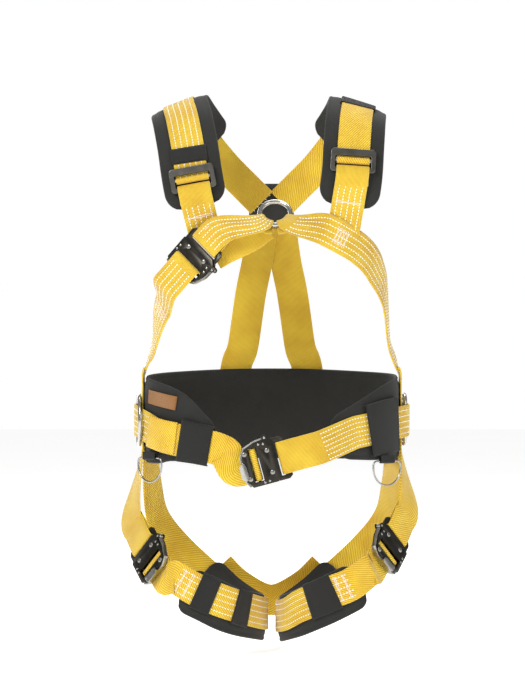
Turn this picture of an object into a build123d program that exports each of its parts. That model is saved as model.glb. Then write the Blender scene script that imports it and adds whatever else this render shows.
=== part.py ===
from build123d import *
import math
import os

import numpy as np

# A full-body work harness with a waist belt, as worn by an upright person. Millimetres.
# +X is the wearer's left, -Y the wearer's front and +Z up. The origin is the centre of
# the eye of the dorsal D-ring, between the shoulder blades.

# Driving dimensions

webWidth = 44.0
webThick = 2.4
layerGap = 0.4
padThick = 7.0
padGap = 0.5

# The wearer's trunk: heights, half widths and half depths of its level sections.
trunkHeights = (-480, -420, -350, -230, -190, -120, -40, 40)
trunkHalfWidths = (184, 184, 169, 168, 160, 156, 156, 150)
trunkHalfDepths = (104, 104, 101, 100, 100, 104, 105, 98)
trunkRoundness = 2.4

thighCentreX = 98.0
thighHalfWidth = 82.0
thighHalfDepth = 95.0

sleeveThick = 1.6
keeperWidth = 48.0

ringWire = 6.0
dorsalEye = 42.0
sternalRingRadius = 20.5
sideRingHeight = 74.0
toolRingWire = 2.6
toolRingHalfWidth = 23.0

plateThick = 3.0
tongueThick = 2.4
tongueGap = 0.4
tongueTravel = 18.0
buckleHalfWidth = 29.0
buckleMouth = 30.0
buckleHeel = -16.0
tongueNose = 9.0
tongueEnd = 45.0
rivetRadius = 2.2
leverThick = 2.2
leverHeight = 6.0
leverGap = 0.6
pivotU = 20.0
pivotRadius = 1.6

adjusterWidth = 61.0
adjusterHeight = 33.0
adjusterThick = 3.0
adjusterWindowWidth = 48.0
adjusterWindowHeight = 21.0
slideBarRadius = 2.4

smoothSteps = 4
turnSteps = 6

# Points and directions


def unit(vector):
    vector = np.array(vector, float)
    return vector / np.linalg.norm(vector)


def powered(value, power):
    return math.copysign(abs(value) ** power, value)


def onTrunk(angle, height, lift):
    """A point off the skin and the outward direction there; angle 0 is the wearer's left."""
    halfWidth = np.interp(height, trunkHeights, trunkHalfWidths)
    halfDepth = np.interp(height, trunkHeights, trunkHalfDepths)
    c = math.cos(math.radians(angle))
    s = math.sin(math.radians(angle))
    x = halfWidth * powered(c, 2 / trunkRoundness)
    y = halfDepth * powered(s, 2 / trunkRoundness)
    slopeX = powered(x / halfWidth, trunkRoundness - 1) / halfWidth
    slopeY = powered(y / halfDepth, trunkRoundness - 1) / halfDepth
    out = unit((slopeX, slopeY, 0))
    return np.array((x, y, height)) + out * lift, out


def onThigh(side, angle, height, lift):
    """The same for a thigh; angle 0 is outward, -90 the front and 180 the crotch."""
    c = math.cos(math.radians(angle))
    s = math.sin(math.radians(angle))
    out = unit((side * c / thighHalfWidth, s / thighHalfDepth, 0))
    foot = (side * (thighCentreX + thighHalfWidth * c), thighHalfDepth * s, height)
    return np.array(foot) + out * lift, out


def flow(stops, steps=smoothSteps):
    """A smooth run of values through hand-chosen stops."""
    stops = [np.array(stop, float) for stop in stops]
    ends = [stops[0], *stops, stops[-1]]
    run = []
    for a, b, c, d in zip(ends, ends[1:], ends[2:], ends[3:]):
        for step in range(steps):
            t = step / steps
            cubic = (3 * b - a - 3 * c + d) * t**3
            run.append(0.5 * (2 * b + (c - a) * t + (2 * a - 5 * b + 4 * c - d) * t**2 + cubic))
    return run + [stops[-1]]


def tangents(points):
    points = [np.array(p, float) for p in points]
    ahead = points[1:] + points[-1:]
    behind = points[:1] + points[:-1]
    return [unit(b - a) for a, b in zip(behind, ahead)]


def surfaceRun(place, stops, steps=smoothSteps):
    """Points along a route on a surface, with the direction across the webbing at each."""
    found = [place(*stop) for stop in flow(stops, steps)]
    points = [point for point, out in found]
    along = tangents(points)
    across = [unit(np.cross(out, t)) for (point, out), t in zip(found, along)]
    return points, across


# Webbing, pads and wire


def band(points, across, width=webWidth, thick=webThick):
    """A flat strap swept along points; width may change from point to point."""
    widths = [width] * len(points) if np.isscalar(width) else width
    wires = []
    for point, side, t, wide in zip(points, across, tangents(points), widths):
        side = unit(side - t * np.dot(side, t))
        out = np.cross(side, t)
        corners = [
            point + side * wide / 2 * i + out * thick / 2 * j
            for i, j in ((1, 1), (-1, 1), (-1, -1), (1, -1))
        ]
        wires.append(Wire.make_polygon([Vector(*c) for c in corners], close=True))
    return Solid.make_loft(wires, ruled=True)


def trunkBand(stops, width=webWidth, thick=webThick, steps=smoothSteps):
    """A band round the trunk; a fourth value in each stop is its width there."""
    if len(stops[0]) > 3:
        width = [stop[3] for stop in flow(stops, steps)]
    return band(*surfaceRun(onTrunk, [stop[:3] for stop in stops], steps), width, thick)


def thighBand(side, stops, width=webWidth, thick=webThick, steps=smoothSteps):
    def place(angle, height, lift):
        return onThigh(side, angle, height, lift)

    return band(*surfaceRun(place, stops, steps), width, thick)


def inPlane(plane, rows):
    """Points given in a plane's own three directions."""
    return [np.array(tuple(plane.from_local_coords(row))) for row in rows]


def turn(centre, radius, start, end, steps=turnSteps):
    """Local (u, 0, z) points of a fold round a bar, angles measured from +u towards +z."""
    rows = []
    for step in range(steps + 1):
        a = math.radians(start + (end - start) * step / steps)
        rows.append((centre[0] + radius * math.cos(a), 0, centre[1] + radius * math.sin(a)))
    return rows


def foldedBand(plane, rows, width=webWidth, thick=webThick, hand=1):
    """A strap whose route lies in the plane's u-z directions, across its v direction."""
    across = np.array(tuple(plane.y_dir))
    points = inPlane(plane, rows)
    return band(points, [across] * len(points), width, thick)


def wireRing(path, radius):
    """Round wire swept along a closed path."""
    start = path @ 0
    section = Plane(origin=start, z_dir=path % 0) * Circle(radius)
    return sweep(section, path=path)


def box3(low, high):
    size = [h - l for l, h in zip(low, high)]
    middle = [(h + l) / 2 for l, h in zip(low, high)]
    return Pos(*middle) * Box(*size)


parts = {}


def add(name, *solids):
    parts[name] = solids[0] if len(solids) == 1 else Compound(children=list(solids))

# Buckles, rings and adjusters

# Half-thicknesses of the buckle: the tongue runs between a frame and a cover.
channel = tongueThick / 2 + tongueGap
frameBack = -(channel + 3.9)
coverFront = channel + plateThick
rivetHead = coverFront + 1.2
tabLow = rivetHead + layerGap
tabHigh = tabLow + 1.4
pivotV = buckleHalfWidth + leverGap + 2.6
behindBuckle = frameBack - layerGap - webThick / 2 - 0.2
slotHalfU = 6.25
slotHalfV = webWidth / 2 + 1
barSlotLow = 30.5
barSlotHigh = 35.5
rivetPlaces = ((19.5, 15.0), (19.5, -15.0), (-11.2, 17.0), (-11.2, -17.0))
shoulderU = 26.0
loopLayer = tongueThick / 2 + layerGap + webThick / 2
rootEnd = tongueEnd + webThick + tongueTravel + 1
loopEnd = rootEnd - 12


def slab(outline, low, high, hand=1):
    """A flat plate from an outline in u and v; hand -1 mirrors it across the u axis."""
    face = make_face(Polyline(*[(u, v * hand) for u, v in outline], close=True))
    return Pos(0, 0, low) * extrude(face, high - low, dir=(0, 0, 1))


def stripOutline(points, thick):
    """The outline of a bent strip of even thickness."""
    flat = [np.array((u, v, 0.0)) for u, v in points]
    sides = [np.cross((0, 0, 1), t) * thick / 2 for t in tangents(flat)]
    left = [tuple((p + s)[:2]) for p, s in zip(flat, sides)]
    right = [tuple((p - s)[:2]) for p, s in zip(flat, sides)]
    return left + right[::-1]


def buckle(name, plane, hand):
    """A two-plate buckle with a side lever and a slide-in tongue; returns its rivets."""
    heelCorner = buckleHeel + 6
    outline = (
        (buckleMouth, -23),
        (buckleMouth, 23),
        (buckleMouth - 5, buckleHalfWidth),
        (4, buckleHalfWidth),
        (heelCorner, buckleHalfWidth - 6),
        (buckleHeel, 13),
        (buckleHeel, -20),
        (heelCorner, -buckleHalfWidth),
        (buckleMouth - 5, -buckleHalfWidth),
    )
    slot = box3((-slotHalfU, -slotHalfV, -20), (slotHalfU, slotHalfV, 20))
    wall = buckleHalfWidth - 5
    frame = slab(outline, frameBack, channel, hand)
    frame -= box3((buckleHeel + 4, -wall, -channel), (buckleMouth + 1, wall, 20))
    frame -= box3((shoulderU - 1, -40, -channel), (buckleMouth + 1, 40, 20))
    cover = slab(outline, channel, coverFront, hand)
    ear = Pos(pivotU, pivotV * hand, 0) * Cylinder(3.6, 1)
    ear += box3((pivotU - 3.6, 0, -0.5), (pivotU + 3.6, pivotV, 0.5)).moved(
        Location((0, 0, 0) if hand > 0 else (0, -pivotV, 0))
    )
    ear -= box3((-40, -26, -1), (40, 26, 1))
    frame += Pos(0, 0, frameBack + 0.5) * ear
    cover += Pos(0, 0, coverFront - 0.5) * ear
    frame -= slot
    cover -= slot
    bar = Pos(0, 0, -channel - 0.4) * Rot(90, 0, 0) * Cylinder(2, 2 * slotHalfV + 1)
    frame += bar
    rivets = []
    for u, v in rivetPlaces:
        hole = Pos(u, v * hand, 0) * Cylinder(rivetRadius, 60)
        frame -= hole
        cover -= hole
        shank = Pos(u, v * hand, (frameBack + coverFront) / 2)
        shank *= Cylinder(rivetRadius, coverFront - frameBack)
        head = Pos(u, v * hand, (coverFront + rivetHead) / 2)
        head *= Cylinder(rivetRadius + 1, rivetHead - coverFront)
        rivets.append(shank + head)
    pinHole = Pos(pivotU, pivotV * hand, 0) * Cylinder(pivotRadius, 60)
    frame -= pinHole
    cover -= pinHole
    pin = Pos(pivotU, pivotV * hand, (frameBack + coverFront) / 2)
    rivets.append(pin * Cylinder(pivotRadius, coverFront - frameBack))

    reach = leverGap + leverThick / 2
    side = buckleHeel - reach
    leverLine = (
        (pivotU, pivotV),
        (4.3, buckleHalfWidth + reach),
        (heelCorner - 1.2, buckleHalfWidth - 6 + reach),
        (side, 13.6),
        (side, -20.6),
        (heelCorner - 3.2, 1.5 - buckleHalfWidth),
    )
    lever = slab(stripOutline(leverLine, leverThick), -leverHeight / 2, leverHeight / 2, hand)
    lever += Pos(pivotU, pivotV * hand, 0) * Cylinder(2.9, leverHeight)
    lever -= Pos(pivotU, pivotV * hand, 0) * Cylinder(pivotRadius + 0.15, 60)
    tabWall = ((side - 1.1, -18), (side + 1.1, -18), (side + 1.1, 5), (side - 1.1, 5))
    tab = ((side - 4.3, -14), (side - 1, -18), (side + 3.2, -18))
    tab += ((side + 5.2, -13), (side + 5.2, 0), (side + 3.2, 5), (side - 1, 5), (side - 4.3, 1))
    lever += slab(tabWall, -leverHeight / 2, tabHigh, hand)
    lever += slab(tab, tabLow, tabHigh, hand)

    half = buckleHalfWidth
    tongueLine = ((tongueNose, -9), (tongueNose + 3, -12), (shoulderU, -12), (shoulderU, -half))
    tongueLine += ((tongueEnd - 5, -half), (tongueEnd, 4 - half), (tongueEnd, half - 4))
    tongueLine += ((tongueEnd - 5, half), (shoulderU, half), (shoulderU, 12))
    tongueLine += ((tongueNose + 3, 12), (tongueNose, 9))
    tongue = slab(tongueLine, -tongueThick / 2, tongueThick / 2)
    tongue -= box3((barSlotLow, -slotHalfV, -5), (barSlotHigh, slotHalfV, 5))
    tongue -= box3((14, -5, -5), (19, 5, 5))

    add(name + "_buckle_frame", plane * frame)
    add(name + "_buckle_cover", plane * cover)
    add(name + "_buckle_lever", plane * lever)
    add(name + "_buckle_tongue", plane * tongue)
    return [plane * rivet for rivet in rivets]


def tongueLoop(plane, end=loopEnd):
    """Webbing folded round the tongue's outer bar, open towards the strap it joins."""
    rows = [(end, 0, loopLayer)]
    rows += turn((barSlotHigh + 0.4, 0), loopLayer, 90, 270)
    rows += [(end, 0, -loopLayer)]
    return foldedBand(plane, rows)


def frameFold():
    """Local route of webbing that comes from behind, over the mid bar and back again."""
    low = behindBuckle
    rows = [(-28, 0, low)] + turn((-6.7, low + 3.1), 3.1, -90, 0, 3)
    rows += turn((0, -channel - 0.4), 3.6, 180, 0)
    rows += turn((-0.8, low + 1.6), 4.4, 0, -90, 3)
    rows += [(-28, 0, low - webThick - layerGap)]
    return rows


def dPath(halfBar, corner, leg):
    """A D outline: a straight bar at the top, small corners, legs and a half circle."""
    wide = halfBar + corner
    high = leg + corner
    bend = corner * math.sin(math.radians(45))
    lines = [Line((-halfBar, high), (halfBar, high))]
    lines.append(ThreePointArc((halfBar, high), (halfBar + bend, leg + bend), (wide, leg)))
    if leg:
        lines.append(Line((wide, leg), (wide, 0)))
    lines.append(ThreePointArc((wide, 0), (0, -wide), (-wide, 0)))
    if leg:
        lines.append(Line((-wide, 0), (-wide, leg)))
    lines.append(ThreePointArc((-wide, leg), (-halfBar - bend, leg + bend), (-halfBar, high)))
    return Wire(lines)


def dRing(plane, halfBar, corner, leg, radius):
    path = dPath(halfBar, corner, leg)
    section = Plane(origin=path @ 0, z_dir=path % 0) * Circle(radius)
    return plane * sweep(section, path=path)


def adjusterFrame(plane):
    """A flat slide with one window; u runs up the strap and v across it."""
    low = (-adjusterHeight / 2, -adjusterWidth / 2, -adjusterThick / 2)
    frame = box3(low, [-value for value in low])
    frame = fillet(frame.edges().filter_by(Axis.Z), 4)
    window = (adjusterWindowHeight / 2, adjusterWindowWidth / 2, 10)
    return plane * (frame - box3([-value for value in window], window))


def slideBar(plane):
    bar = Rot(90, 0, 0) * Cylinder(slideBarRadius, adjusterWindowWidth - 1)
    return plane * bar

# Layers, from the skin outwards

onSkin = webThick / 2 + layerGap
padMiddle = padGap + padThick / 2
padTop = padGap + padThick
onPad = padTop + layerGap + webThick / 2
layer = webThick + layerGap
sleeveLift = onPad + layer + webThick / 2 + layerGap + sleeveThick / 2


def bucklePlane(point, out, toward):
    out = unit(out)
    toward = np.array(toward, float)
    return Plane(origin=tuple(point), x_dir=tuple(unit(toward - out * np.dot(out, toward))),
                 z_dir=tuple(out))


# Shoulders

# Skin points (x, y, z) from the chest over the shoulder to the back, and the direction
# across the strap (ax, az) at each. The two shoulders are worn a little differently.
shoulderRoutes = {
    "right": (
        (-88, -87.5, -48, 0.98, 0.2), (-99, -92, -4, 0.98, 0.2), (-107, -93, 36, 0.98, 0.2),
        (-113, -82, 76, 0.98, 0.2), (-120, -60, 112, 0.97, 0.25), (-125, -28, 132, 0.94, 0.34),
        (-124, 8, 137, 0.93, 0.36), (-114, 44, 124, 0.93, 0.36), (-94, 74, 98, 0.92, 0.4),
        (-66, 92, 66, 0.86, 0.5), (-38, 99, 38, 0.8, 0.6), (-14, 101, 14, 0.75, 0.66),
    ),
    "left": (
        (94, -88, -48, 0.99, -0.1), (101, -90.5, -4, 0.99, -0.1), (107, -93, 36, 0.99, -0.08),
        (110, -82, 76, 0.99, -0.08), (113, -60, 112, 0.98, -0.16), (116, -28, 132, 0.96, -0.27),
        (117, 8, 137, 0.94, -0.33), (110, 44, 124, 0.93, -0.36), (92, 74, 98, 0.92, -0.4),
        (66, 92, 66, 0.86, -0.5), (38, 99, 38, 0.8, -0.6), (14, 101, 14, 0.75, -0.66),
    ),
}
adjusterHeights = {"right": 34, "left": 58}
adjusterLift = onPad + adjusterThick / 2 + webThick / 2 + layerGap + 0.6


def shoulderRun(side, lifts, steps=smoothSteps):
    """Points over a shoulder; lifts gives (height share 0..11, lift) pairs to follow."""
    rows = flow(shoulderRoutes[side], steps)
    places = [share * steps for share, lift in lifts]
    first, last = int(places[0]), int(places[-1])
    points = [row[:3] for row in rows]
    across = [unit((row[3], 0, row[4])) for row in rows]
    lifted = []
    for index, (point, way, t) in enumerate(zip(points, across, tangents(points))):
        lift = np.interp(index, places, [value for share, value in lifts])
        lifted.append(point + unit(np.cross(way, t)) * lift)
    return lifted[first:last + 1], across[first:last + 1]


def adjusterPlane(side):
    """The slide's plane: x up the strap, z away from the chest."""
    points, across = shoulderRun(side, ((0, adjusterLift), (11, adjusterLift)), 24)
    near = min(range(len(points)), key=lambda i: abs(points[i][2] - adjusterHeights[side])
               + (1000 if points[i][1] > 0 else 0))
    up = tangents(points)[near]
    return bucklePlane(points[near], np.cross(across[near], up), up)


backLayer = {"right": onSkin, "left": onSkin + layer}
frameBarU = -(adjusterHeight + adjusterWindowHeight) / 4
barFold = adjusterThick / 2 + layerGap + webThick / 2 + 0.3
slideFold = slideBarRadius + layerGap + webThick / 2
for side in ("right", "left"):
    plane = adjusterPlane(side)
    fold = inPlane(plane, turn((0, 0), slideFold, 60, 270, 8))
    startShare = {"right": 2.25, "left": 2.75}[side]
    lifts = ((startShare, onPad), (8.75, onPad), (10, backLayer[side]), (11, backLayer[side]))
    points, across = shoulderRun(side, lifts)
    facing = np.array(tuple(plane.y_dir))
    sides = [-facing] * len(fold) + across
    add("shoulder_strap_" + side, band(fold + points, sides))

    fold = [(frameBarU - 8, 0, barFold)]
    fold += turn((frameBarU + 1.8, 0), barFold, 90, -90, 8) + [(frameBarU - 20, 0, -barFold)]
    lowShare = {"right": 1.0, "left": 1.5}[side]
    low = ((0.5, onSkin + 1.5), (0.9, onPad + 1), (lowShare, onPad + 3))
    if side == "right":
        low = ((0.25, onSkin), *low)
    points, across = shoulderRun(side, low)
    fold = inPlane(plane, fold)
    sides = across + [-facing] * len(fold)
    add("front_strap_" + side, band(points + fold, sides))

    points, across = shoulderRun(side, ((1, padMiddle), (8.25, padMiddle)))
    add("shoulder_pad_" + side, band(points, across, 80, padThick))
    add("adjuster_frame_" + side, adjusterFrame(plane))

add("adjuster_bars", *[slideBar(adjusterPlane(side)) for side in ("right", "left")])

keeperShares = {"right": (2.5, 3.0), "left": (4.75, 5.5)}
keeperLift = onPad + webThick / 2 + layerGap + sleeveThick / 2
for side, (low, high) in keeperShares.items():
    points, across = shoulderRun(side, ((low, keeperLift), (high, keeperLift)))
    add("shoulder_keeper_" + side, band(points, across, keeperWidth, sleeveThick))

# Dorsal plate and ring

plateFace = 101 + onSkin + 3 * layer + webThick / 2 + layerGap
plateHalfWidth = 32.0
plateLow = -46.0
plateHigh = 42.0
dorsalWide = dorsalEye / 2 + ringWire / 2
dorsalBar = 20.0
lugOuter = 5.6
lugLength = 10.0
ringY = plateFace + plateThick + lugOuter + 0.3
plate = box3((-plateHalfWidth, plateFace, plateLow), (plateHalfWidth, plateFace + plateThick, plateHigh))
plate = fillet(plate.edges().filter_by(Axis.Y), 12)
for x in (-8, 8):
    lug = Pos(x, ringY, dorsalBar) * Rot(0, 90, 0) * Cylinder(lugOuter, lugLength)
    lug += box3((x - lugLength / 2, plateFace + 1, dorsalBar - lugOuter),
                (x + lugLength / 2, ringY, dorsalBar + lugOuter))
    plate += lug
plate -= Pos(0, ringY, dorsalBar) * Rot(0, 90, 0) * Cylinder(ringWire / 2 + 0.3, 60)
add("dorsal_plate", plate)
dorsalPlane = Plane(origin=(0, ringY, 0), x_dir=(1, 0, 0), z_dir=(0, -1, 0))
dorsalCorner = 8.0
dorsalLeg = dorsalBar - dorsalCorner
add("dorsal_d_ring",
    dRing(dorsalPlane, dorsalWide - dorsalCorner, dorsalCorner, dorsalLeg, ringWire / 2))

add("back_straps",
    trunkBand([(93, -20, onSkin), (95, -70, onSkin), (98, -120, onSkin), (101, -190, onSkin + 1),
               (103, -212, onPad + 0.6), (104, -235, onPad + 0.3), (105, -258, onPad + 0.2)]),
    trunkBand([(87, -20, onSkin + layer), (85, -70, onSkin + layer), (82, -120, onSkin + layer),
               (79, -190, onSkin + 1), (77, -212, onPad + 0.6), (76, -235, onPad + 0.3),
               (75, -258, onPad + 0.2)]))

# Chest

sternalCentre = np.array((4.0, -117.0, -13.5))
sternalTilt = 38.0
sternalPlane = Plane(origin=tuple(sternalCentre), x_dir=(1, 0, 0),
                     z_dir=(0, -math.cos(math.radians(sternalTilt)),
                            math.sin(math.radians(sternalTilt))))
add("sternal_ring", sternalPlane * Torus(sternalRingRadius, ringWire / 2))

chestPoint = onTrunk(-128.7, -82, 16)
chestOut = unit((-0.38, -0.92, 0.05))
chestPlane = bucklePlane(chestPoint[0], chestOut, (0.632, -0.261, 0.73))
rivets = buckle("chest", chestPlane, -1)
add("chest_tongue_loop", tongueLoop(chestPlane))

sternalStart = inPlane(chestPlane, [(rootEnd + 9, 0, 0)])[0]
ringLoopRadius = ringWire / 2 + 1.3 + webThick / 2
loopAngle = 35.0


def towardsRing(start, startOut, side):
    """A strap from a sewn end to the chest ring, bunched and folded round the ring's wire."""
    a = math.radians(loopAngle)
    away = side * math.cos(a) * np.array(tuple(sternalPlane.x_dir))
    away -= math.sin(a) * np.array(tuple(sternalPlane.y_dir))
    wire = sternalCentre + away * (sternalRingRadius - 0.5)
    out = np.array(tuple(sternalPlane.z_dir))
    across = np.cross(out, away)
    points = [start, start * 0.5 + (wire + away * 11 + out * ringLoopRadius) * 0.5]
    for angle in range(90, 271, 30):
        a = math.radians(angle)
        points.append(wire + ringLoopRadius * (math.cos(a) * away + math.sin(a) * out))
    points.append(wire + away * 12 - out * (ringLoopRadius - 0.5))
    startAcross = unit(np.cross(startOut, start - wire))
    widths = [webWidth, webWidth * 0.75] + [webWidth * 0.3] * 7 + [webWidth * 0.5]
    return points, [startAcross, unit(startAcross + across)] + [across] * 8, widths


ringPoints, ringAcross, ringWidths = towardsRing(sternalStart, chestOut, -1)
add("sternal_strap_right", band(ringPoints, ringAcross, ringWidths))

fold = [(slotHalfU - 1.6, 0, behindBuckle), (slotHalfU - 1.6, 0, 5)]
fold += turn((slotHalfU - 4.4, 6.6), 2.8, 0, 90, 3)
fold += [(-6, 0, 9.4), (-19, 0, 9.4), (-32, 0, 9.6), (-43, 0, 8.6)]
fold = inPlane(chestPlane, fold)
points, across = surfaceRun(onTrunk, [
    (-152, -136, 8), (-166, -165, 3), (-177, -195, onSkin + 2), (-180, -216, 7.5),
    (-180, -229, onPad + 0.4), (-180, -250, onPad), (-180, -282, onPad)])
facing = np.array(tuple(chestPlane.y_dir))
add("side_strap_right", band(fold + points, [-facing] * len(fold) + across))

leftStops = [
    (-64, -42, onSkin + 4), (-52, -55, onSkin + 7), (-42, -67.5, onSkin + 6.5), (-34, -80, onSkin + 3),
    (-28, -91, onSkin), (-19, -106, onSkin), (-12, -124, onSkin), (-8, -150, onSkin),
    (-6, -176, onSkin), (-3, -198, onSkin + 2), (0, -216, 7.5),
    (0, -229, onPad + 0.4), (0, -250, onPad), (0, -282, onPad)]
points, across = surfaceRun(onTrunk, leftStops)
ringPoints, ringAcross, ringWidths = towardsRing(points[0], onTrunk(-64, -42, 0)[1], 1)
joined = ringPoints[:0:-1] + points
sides = ringAcross[:0:-1] + across
widths = ringWidths[:0:-1] + [webWidth] * len(points)
add("side_strap_left", band(joined, sides, widths))

# Waist

waistPoint = onTrunk(-94.8, -349, 12.5)
waistPlane = bucklePlane(waistPoint[0], waistPoint[1], (0.966, 0, 0.259))
rivets += buckle("waist", waistPlane, 1)
add("waist_tongue_loop", tongueLoop(waistPlane))

beltMiddle = -292
barLift = onPad + webThick / 2 + 6 * layerGap + ringWire / 2
overBar = barLift + ringWire / 2 + 0.5 + webThick / 2
beltLift = onPad + layer
add("waist_pad", trunkBand([
    (246, -328, padMiddle, 52), (238, -316, padMiddle, 66), (222, -300, padMiddle, 98),
    (203, -294, padMiddle, 112), (180, -291, padMiddle, 116), (135, -288, padMiddle, 122),
    (90, -286, padMiddle, 126), (45, -288, padMiddle, 122), (0, -290, padMiddle, 116),
    (-23, -293, padMiddle, 106), (-44, -303, padMiddle, 84), (-60, -312, padMiddle, 62),
    (-67, -317, padMiddle, 50)], thick=padThick, steps=3))
add("waist_belt_webbing", trunkBand([
    (209, -309, onPad), (201, -302, 11), (193, -297, 14.5), (186, -293, overBar - 2),
    (180, beltMiddle, overBar), (174, -291, overBar - 2), (167, -290, 14.5),
    (155, -289, beltLift), (135, -287, beltLift), (110, -285, beltLift), (90, -285, beltLift),
    (70, -285, beltLift), (45, -287, beltLift), (25, -289, beltLift), (13, -290, 14.5),
    (6, -291, overBar - 2), (0, beltMiddle, overBar), (-6, -293, overBar - 2),
    (-13, -294, 14.5), (-20, -296, 10.5), (-25, -297, onPad)]))

fold = inPlane(waistPlane, frameFold())
points, across = surfaceRun(onTrunk, [
    (206, -307, onPad + layer + 0.8), (218, -313, onPad + layer), (233, -319, onPad + layer),
    (247, -326, onPad + layer), (253, -333, 9.6)])
facing = np.array(tuple(waistPlane.y_dir))
add("waist_strap_right", band(points + fold, across + [facing] * len(fold)))
root = inPlane(waistPlane, [(rootEnd, 0, 0), (rootEnd + 20, 0, 0)])
points, across = surfaceRun(onTrunk, [
    (-53, -306, onPad), (-43, -302, onPad), (-36, -300, onPad), (-31, -299, onPad)])
add("waist_strap_left", band(root + points, [facing] * len(root) + across))

sleeveStops = {
    "right": ((229, -317, sleeveLift, 58), (238, -321, sleeveLift, 55), (246, -325, sleeveLift, 54)),
    "left": ((-46, -305, sleeveLift, 70), (-34, -300, sleeveLift, 73), (-20, -297, sleeveLift, 74)),
}
for side, stops in sleeveStops.items():
    add("waist_sleeve_" + side, trunkBand(stops, thick=sleeveThick))

labelThick = 1.0
labelLift = padTop + 4 * layerGap + labelThick / 2
add("pad_label", trunkBand([
    (200, -259, labelLift, 19), (213, -263, labelLift, 19), (226, -268, labelLift, 19)],
    thick=labelThick))

sideCorner = 12.0
sideTurn = {"right": 6.0, "left": 3.0}
for side, sign in (("right", -1), ("left", 1)):
    bar = onTrunk(180 if sign < 0 else 0, beltMiddle, barLift)[0]
    a = math.radians(sideTurn[side])
    toBar = np.array((sign * math.sin(a), -sign * math.cos(a), 0))
    centre = bar - toBar * sideCorner
    plane = Plane(origin=tuple(centre), x_dir=(0, 0, 1), z_dir=tuple(np.cross((0, 0, 1), toBar)))
    halfBar = sideRingHeight / 2 - ringWire / 2 - sideCorner
    add("side_d_ring_" + side, dRing(plane, halfBar, sideCorner, 0, ringWire / 2))

toolCorner = 6.0
toolLeg = 4.0
toolBar = {"right": -342.0, "left": -346.0}
toolTurn = 10.0
loopThick = 1.4
toolFold = toolRingWire / 2 + 0.3 + loopThick / 2
toolLift = padTop + 3 * layerGap + loopThick / 2 + toolFold + 2
loops = []
for side, angle in (("right", 206), ("left", -33)):
    bar, out = onTrunk(angle, toolBar[side], toolLift)
    a = math.radians(toolTurn if side == "right" else -toolTurn)
    out = np.array((out[0] * math.cos(a) - out[1] * math.sin(a),
                    out[0] * math.sin(a) + out[1] * math.cos(a), 0))
    centre = bar - np.array((0, 0, toolCorner + toolLeg))
    plane = Plane(origin=tuple(centre), x_dir=tuple(np.cross((0, 0, 1), out)), z_dir=tuple(out))
    halfBar = toolRingHalfWidth - toolCorner
    add("tool_ring_" + side, dRing(plane, halfBar, toolCorner, toolLeg, toolRingWire / 2))
    foldPlane = Plane(origin=tuple(bar), x_dir=(0, 0, 1), z_dir=tuple(out))
    rows = [(5, 0, toolFold)] + turn((0, 0), toolFold, 90, 270) + [(5, 0, -toolFold)]
    loops.append(foldedBand(foldPlane, rows, 24, loopThick))
add("tool_ring_loops", *loops)

# Legs

legPlanes = {
    "right": bucklePlane((-161, -72, -484), (-0.74, -0.64, 0.2), (-0.3, 0.72, 0.62)),
    "left": bucklePlane((155, -72, -470), (0.74, -0.64, 0.2), (0.3, 0.72, 0.62)),
}
for side, plane in legPlanes.items():
    rivets += buckle("leg_" + side, plane, 1 if side == "left" else -1)
    add("leg_tongue_loop_" + side, tongueLoop(plane))
add("buckle_rivets", *rivets)

hipStops = {"right": [(183, -330, onPad), (181, -300, onPad)],
            "left": [(-3, -330, onPad), (-1, -300, onPad)]}


def legRoute(side, stops):
    """Thigh stops with 180 at the crotch, for either leg."""
    sign = -1 if side == "right" else 1

    def place(angle, height, lift):
        return onThigh(sign, angle, height, lift)

    return surfaceRun(place, stops, 6)


onLegPad = onPad + 0.6
legStops = {
    "right": [(-70, -500, onLegPad), (-86, -515, onLegPad), (-109, -532, onLegPad), (-133, -545, onLegPad),
              (-158, -555, onLegPad), (-182, -560, onLegPad), (-210, -560, onLegPad), (-235, -550, onLegPad),
              (-262, -522, onLegPad), (-290, -480, onLegPad), (-312, -435, onLegPad), (-322, -390, 6),
              (-328, -350, 2), (-328, -318, 0)],
    "left": [(-68, -490, onLegPad), (-85, -509, onLegPad), (-98, -518, onLegPad), (-113, -529, onLegPad),
             (-131, -541, onLegPad), (-152, -556, onLegPad), (-182, -563, onLegPad), (-210, -562, onLegPad),
             (-235, -550, onLegPad), (-262, -522, onLegPad), (-290, -480, onLegPad), (-312, -435, onLegPad),
             (-322, -390, 6), (-328, -350, 2), (-328, -318, 0)],
}
padStops = {
    "right": [(-76, -515, padMiddle), (-95, -528, padMiddle), (-118, -545, padMiddle),
              (-145, -556, padMiddle), (-182, -565, padMiddle), (-215, -562, padMiddle),
              (-245, -545, padMiddle), (-270, -515, padMiddle)],
    "left": [(-76, -508, padMiddle), (-95, -523, padMiddle), (-118, -540, padMiddle),
             (-145, -556, padMiddle), (-182, -567, padMiddle), (-215, -563, padMiddle),
             (-245, -545, padMiddle), (-270, -515, padMiddle)],
}
keeperStops = {
    "right": [[(-88, -517), (-96, -523), (-103, -528)], [(-121, -539), (-128, -543), (-136, -547)]],
    "left": [[(-98, -518), (-110, -527), (-122, -535)]],
}
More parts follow.
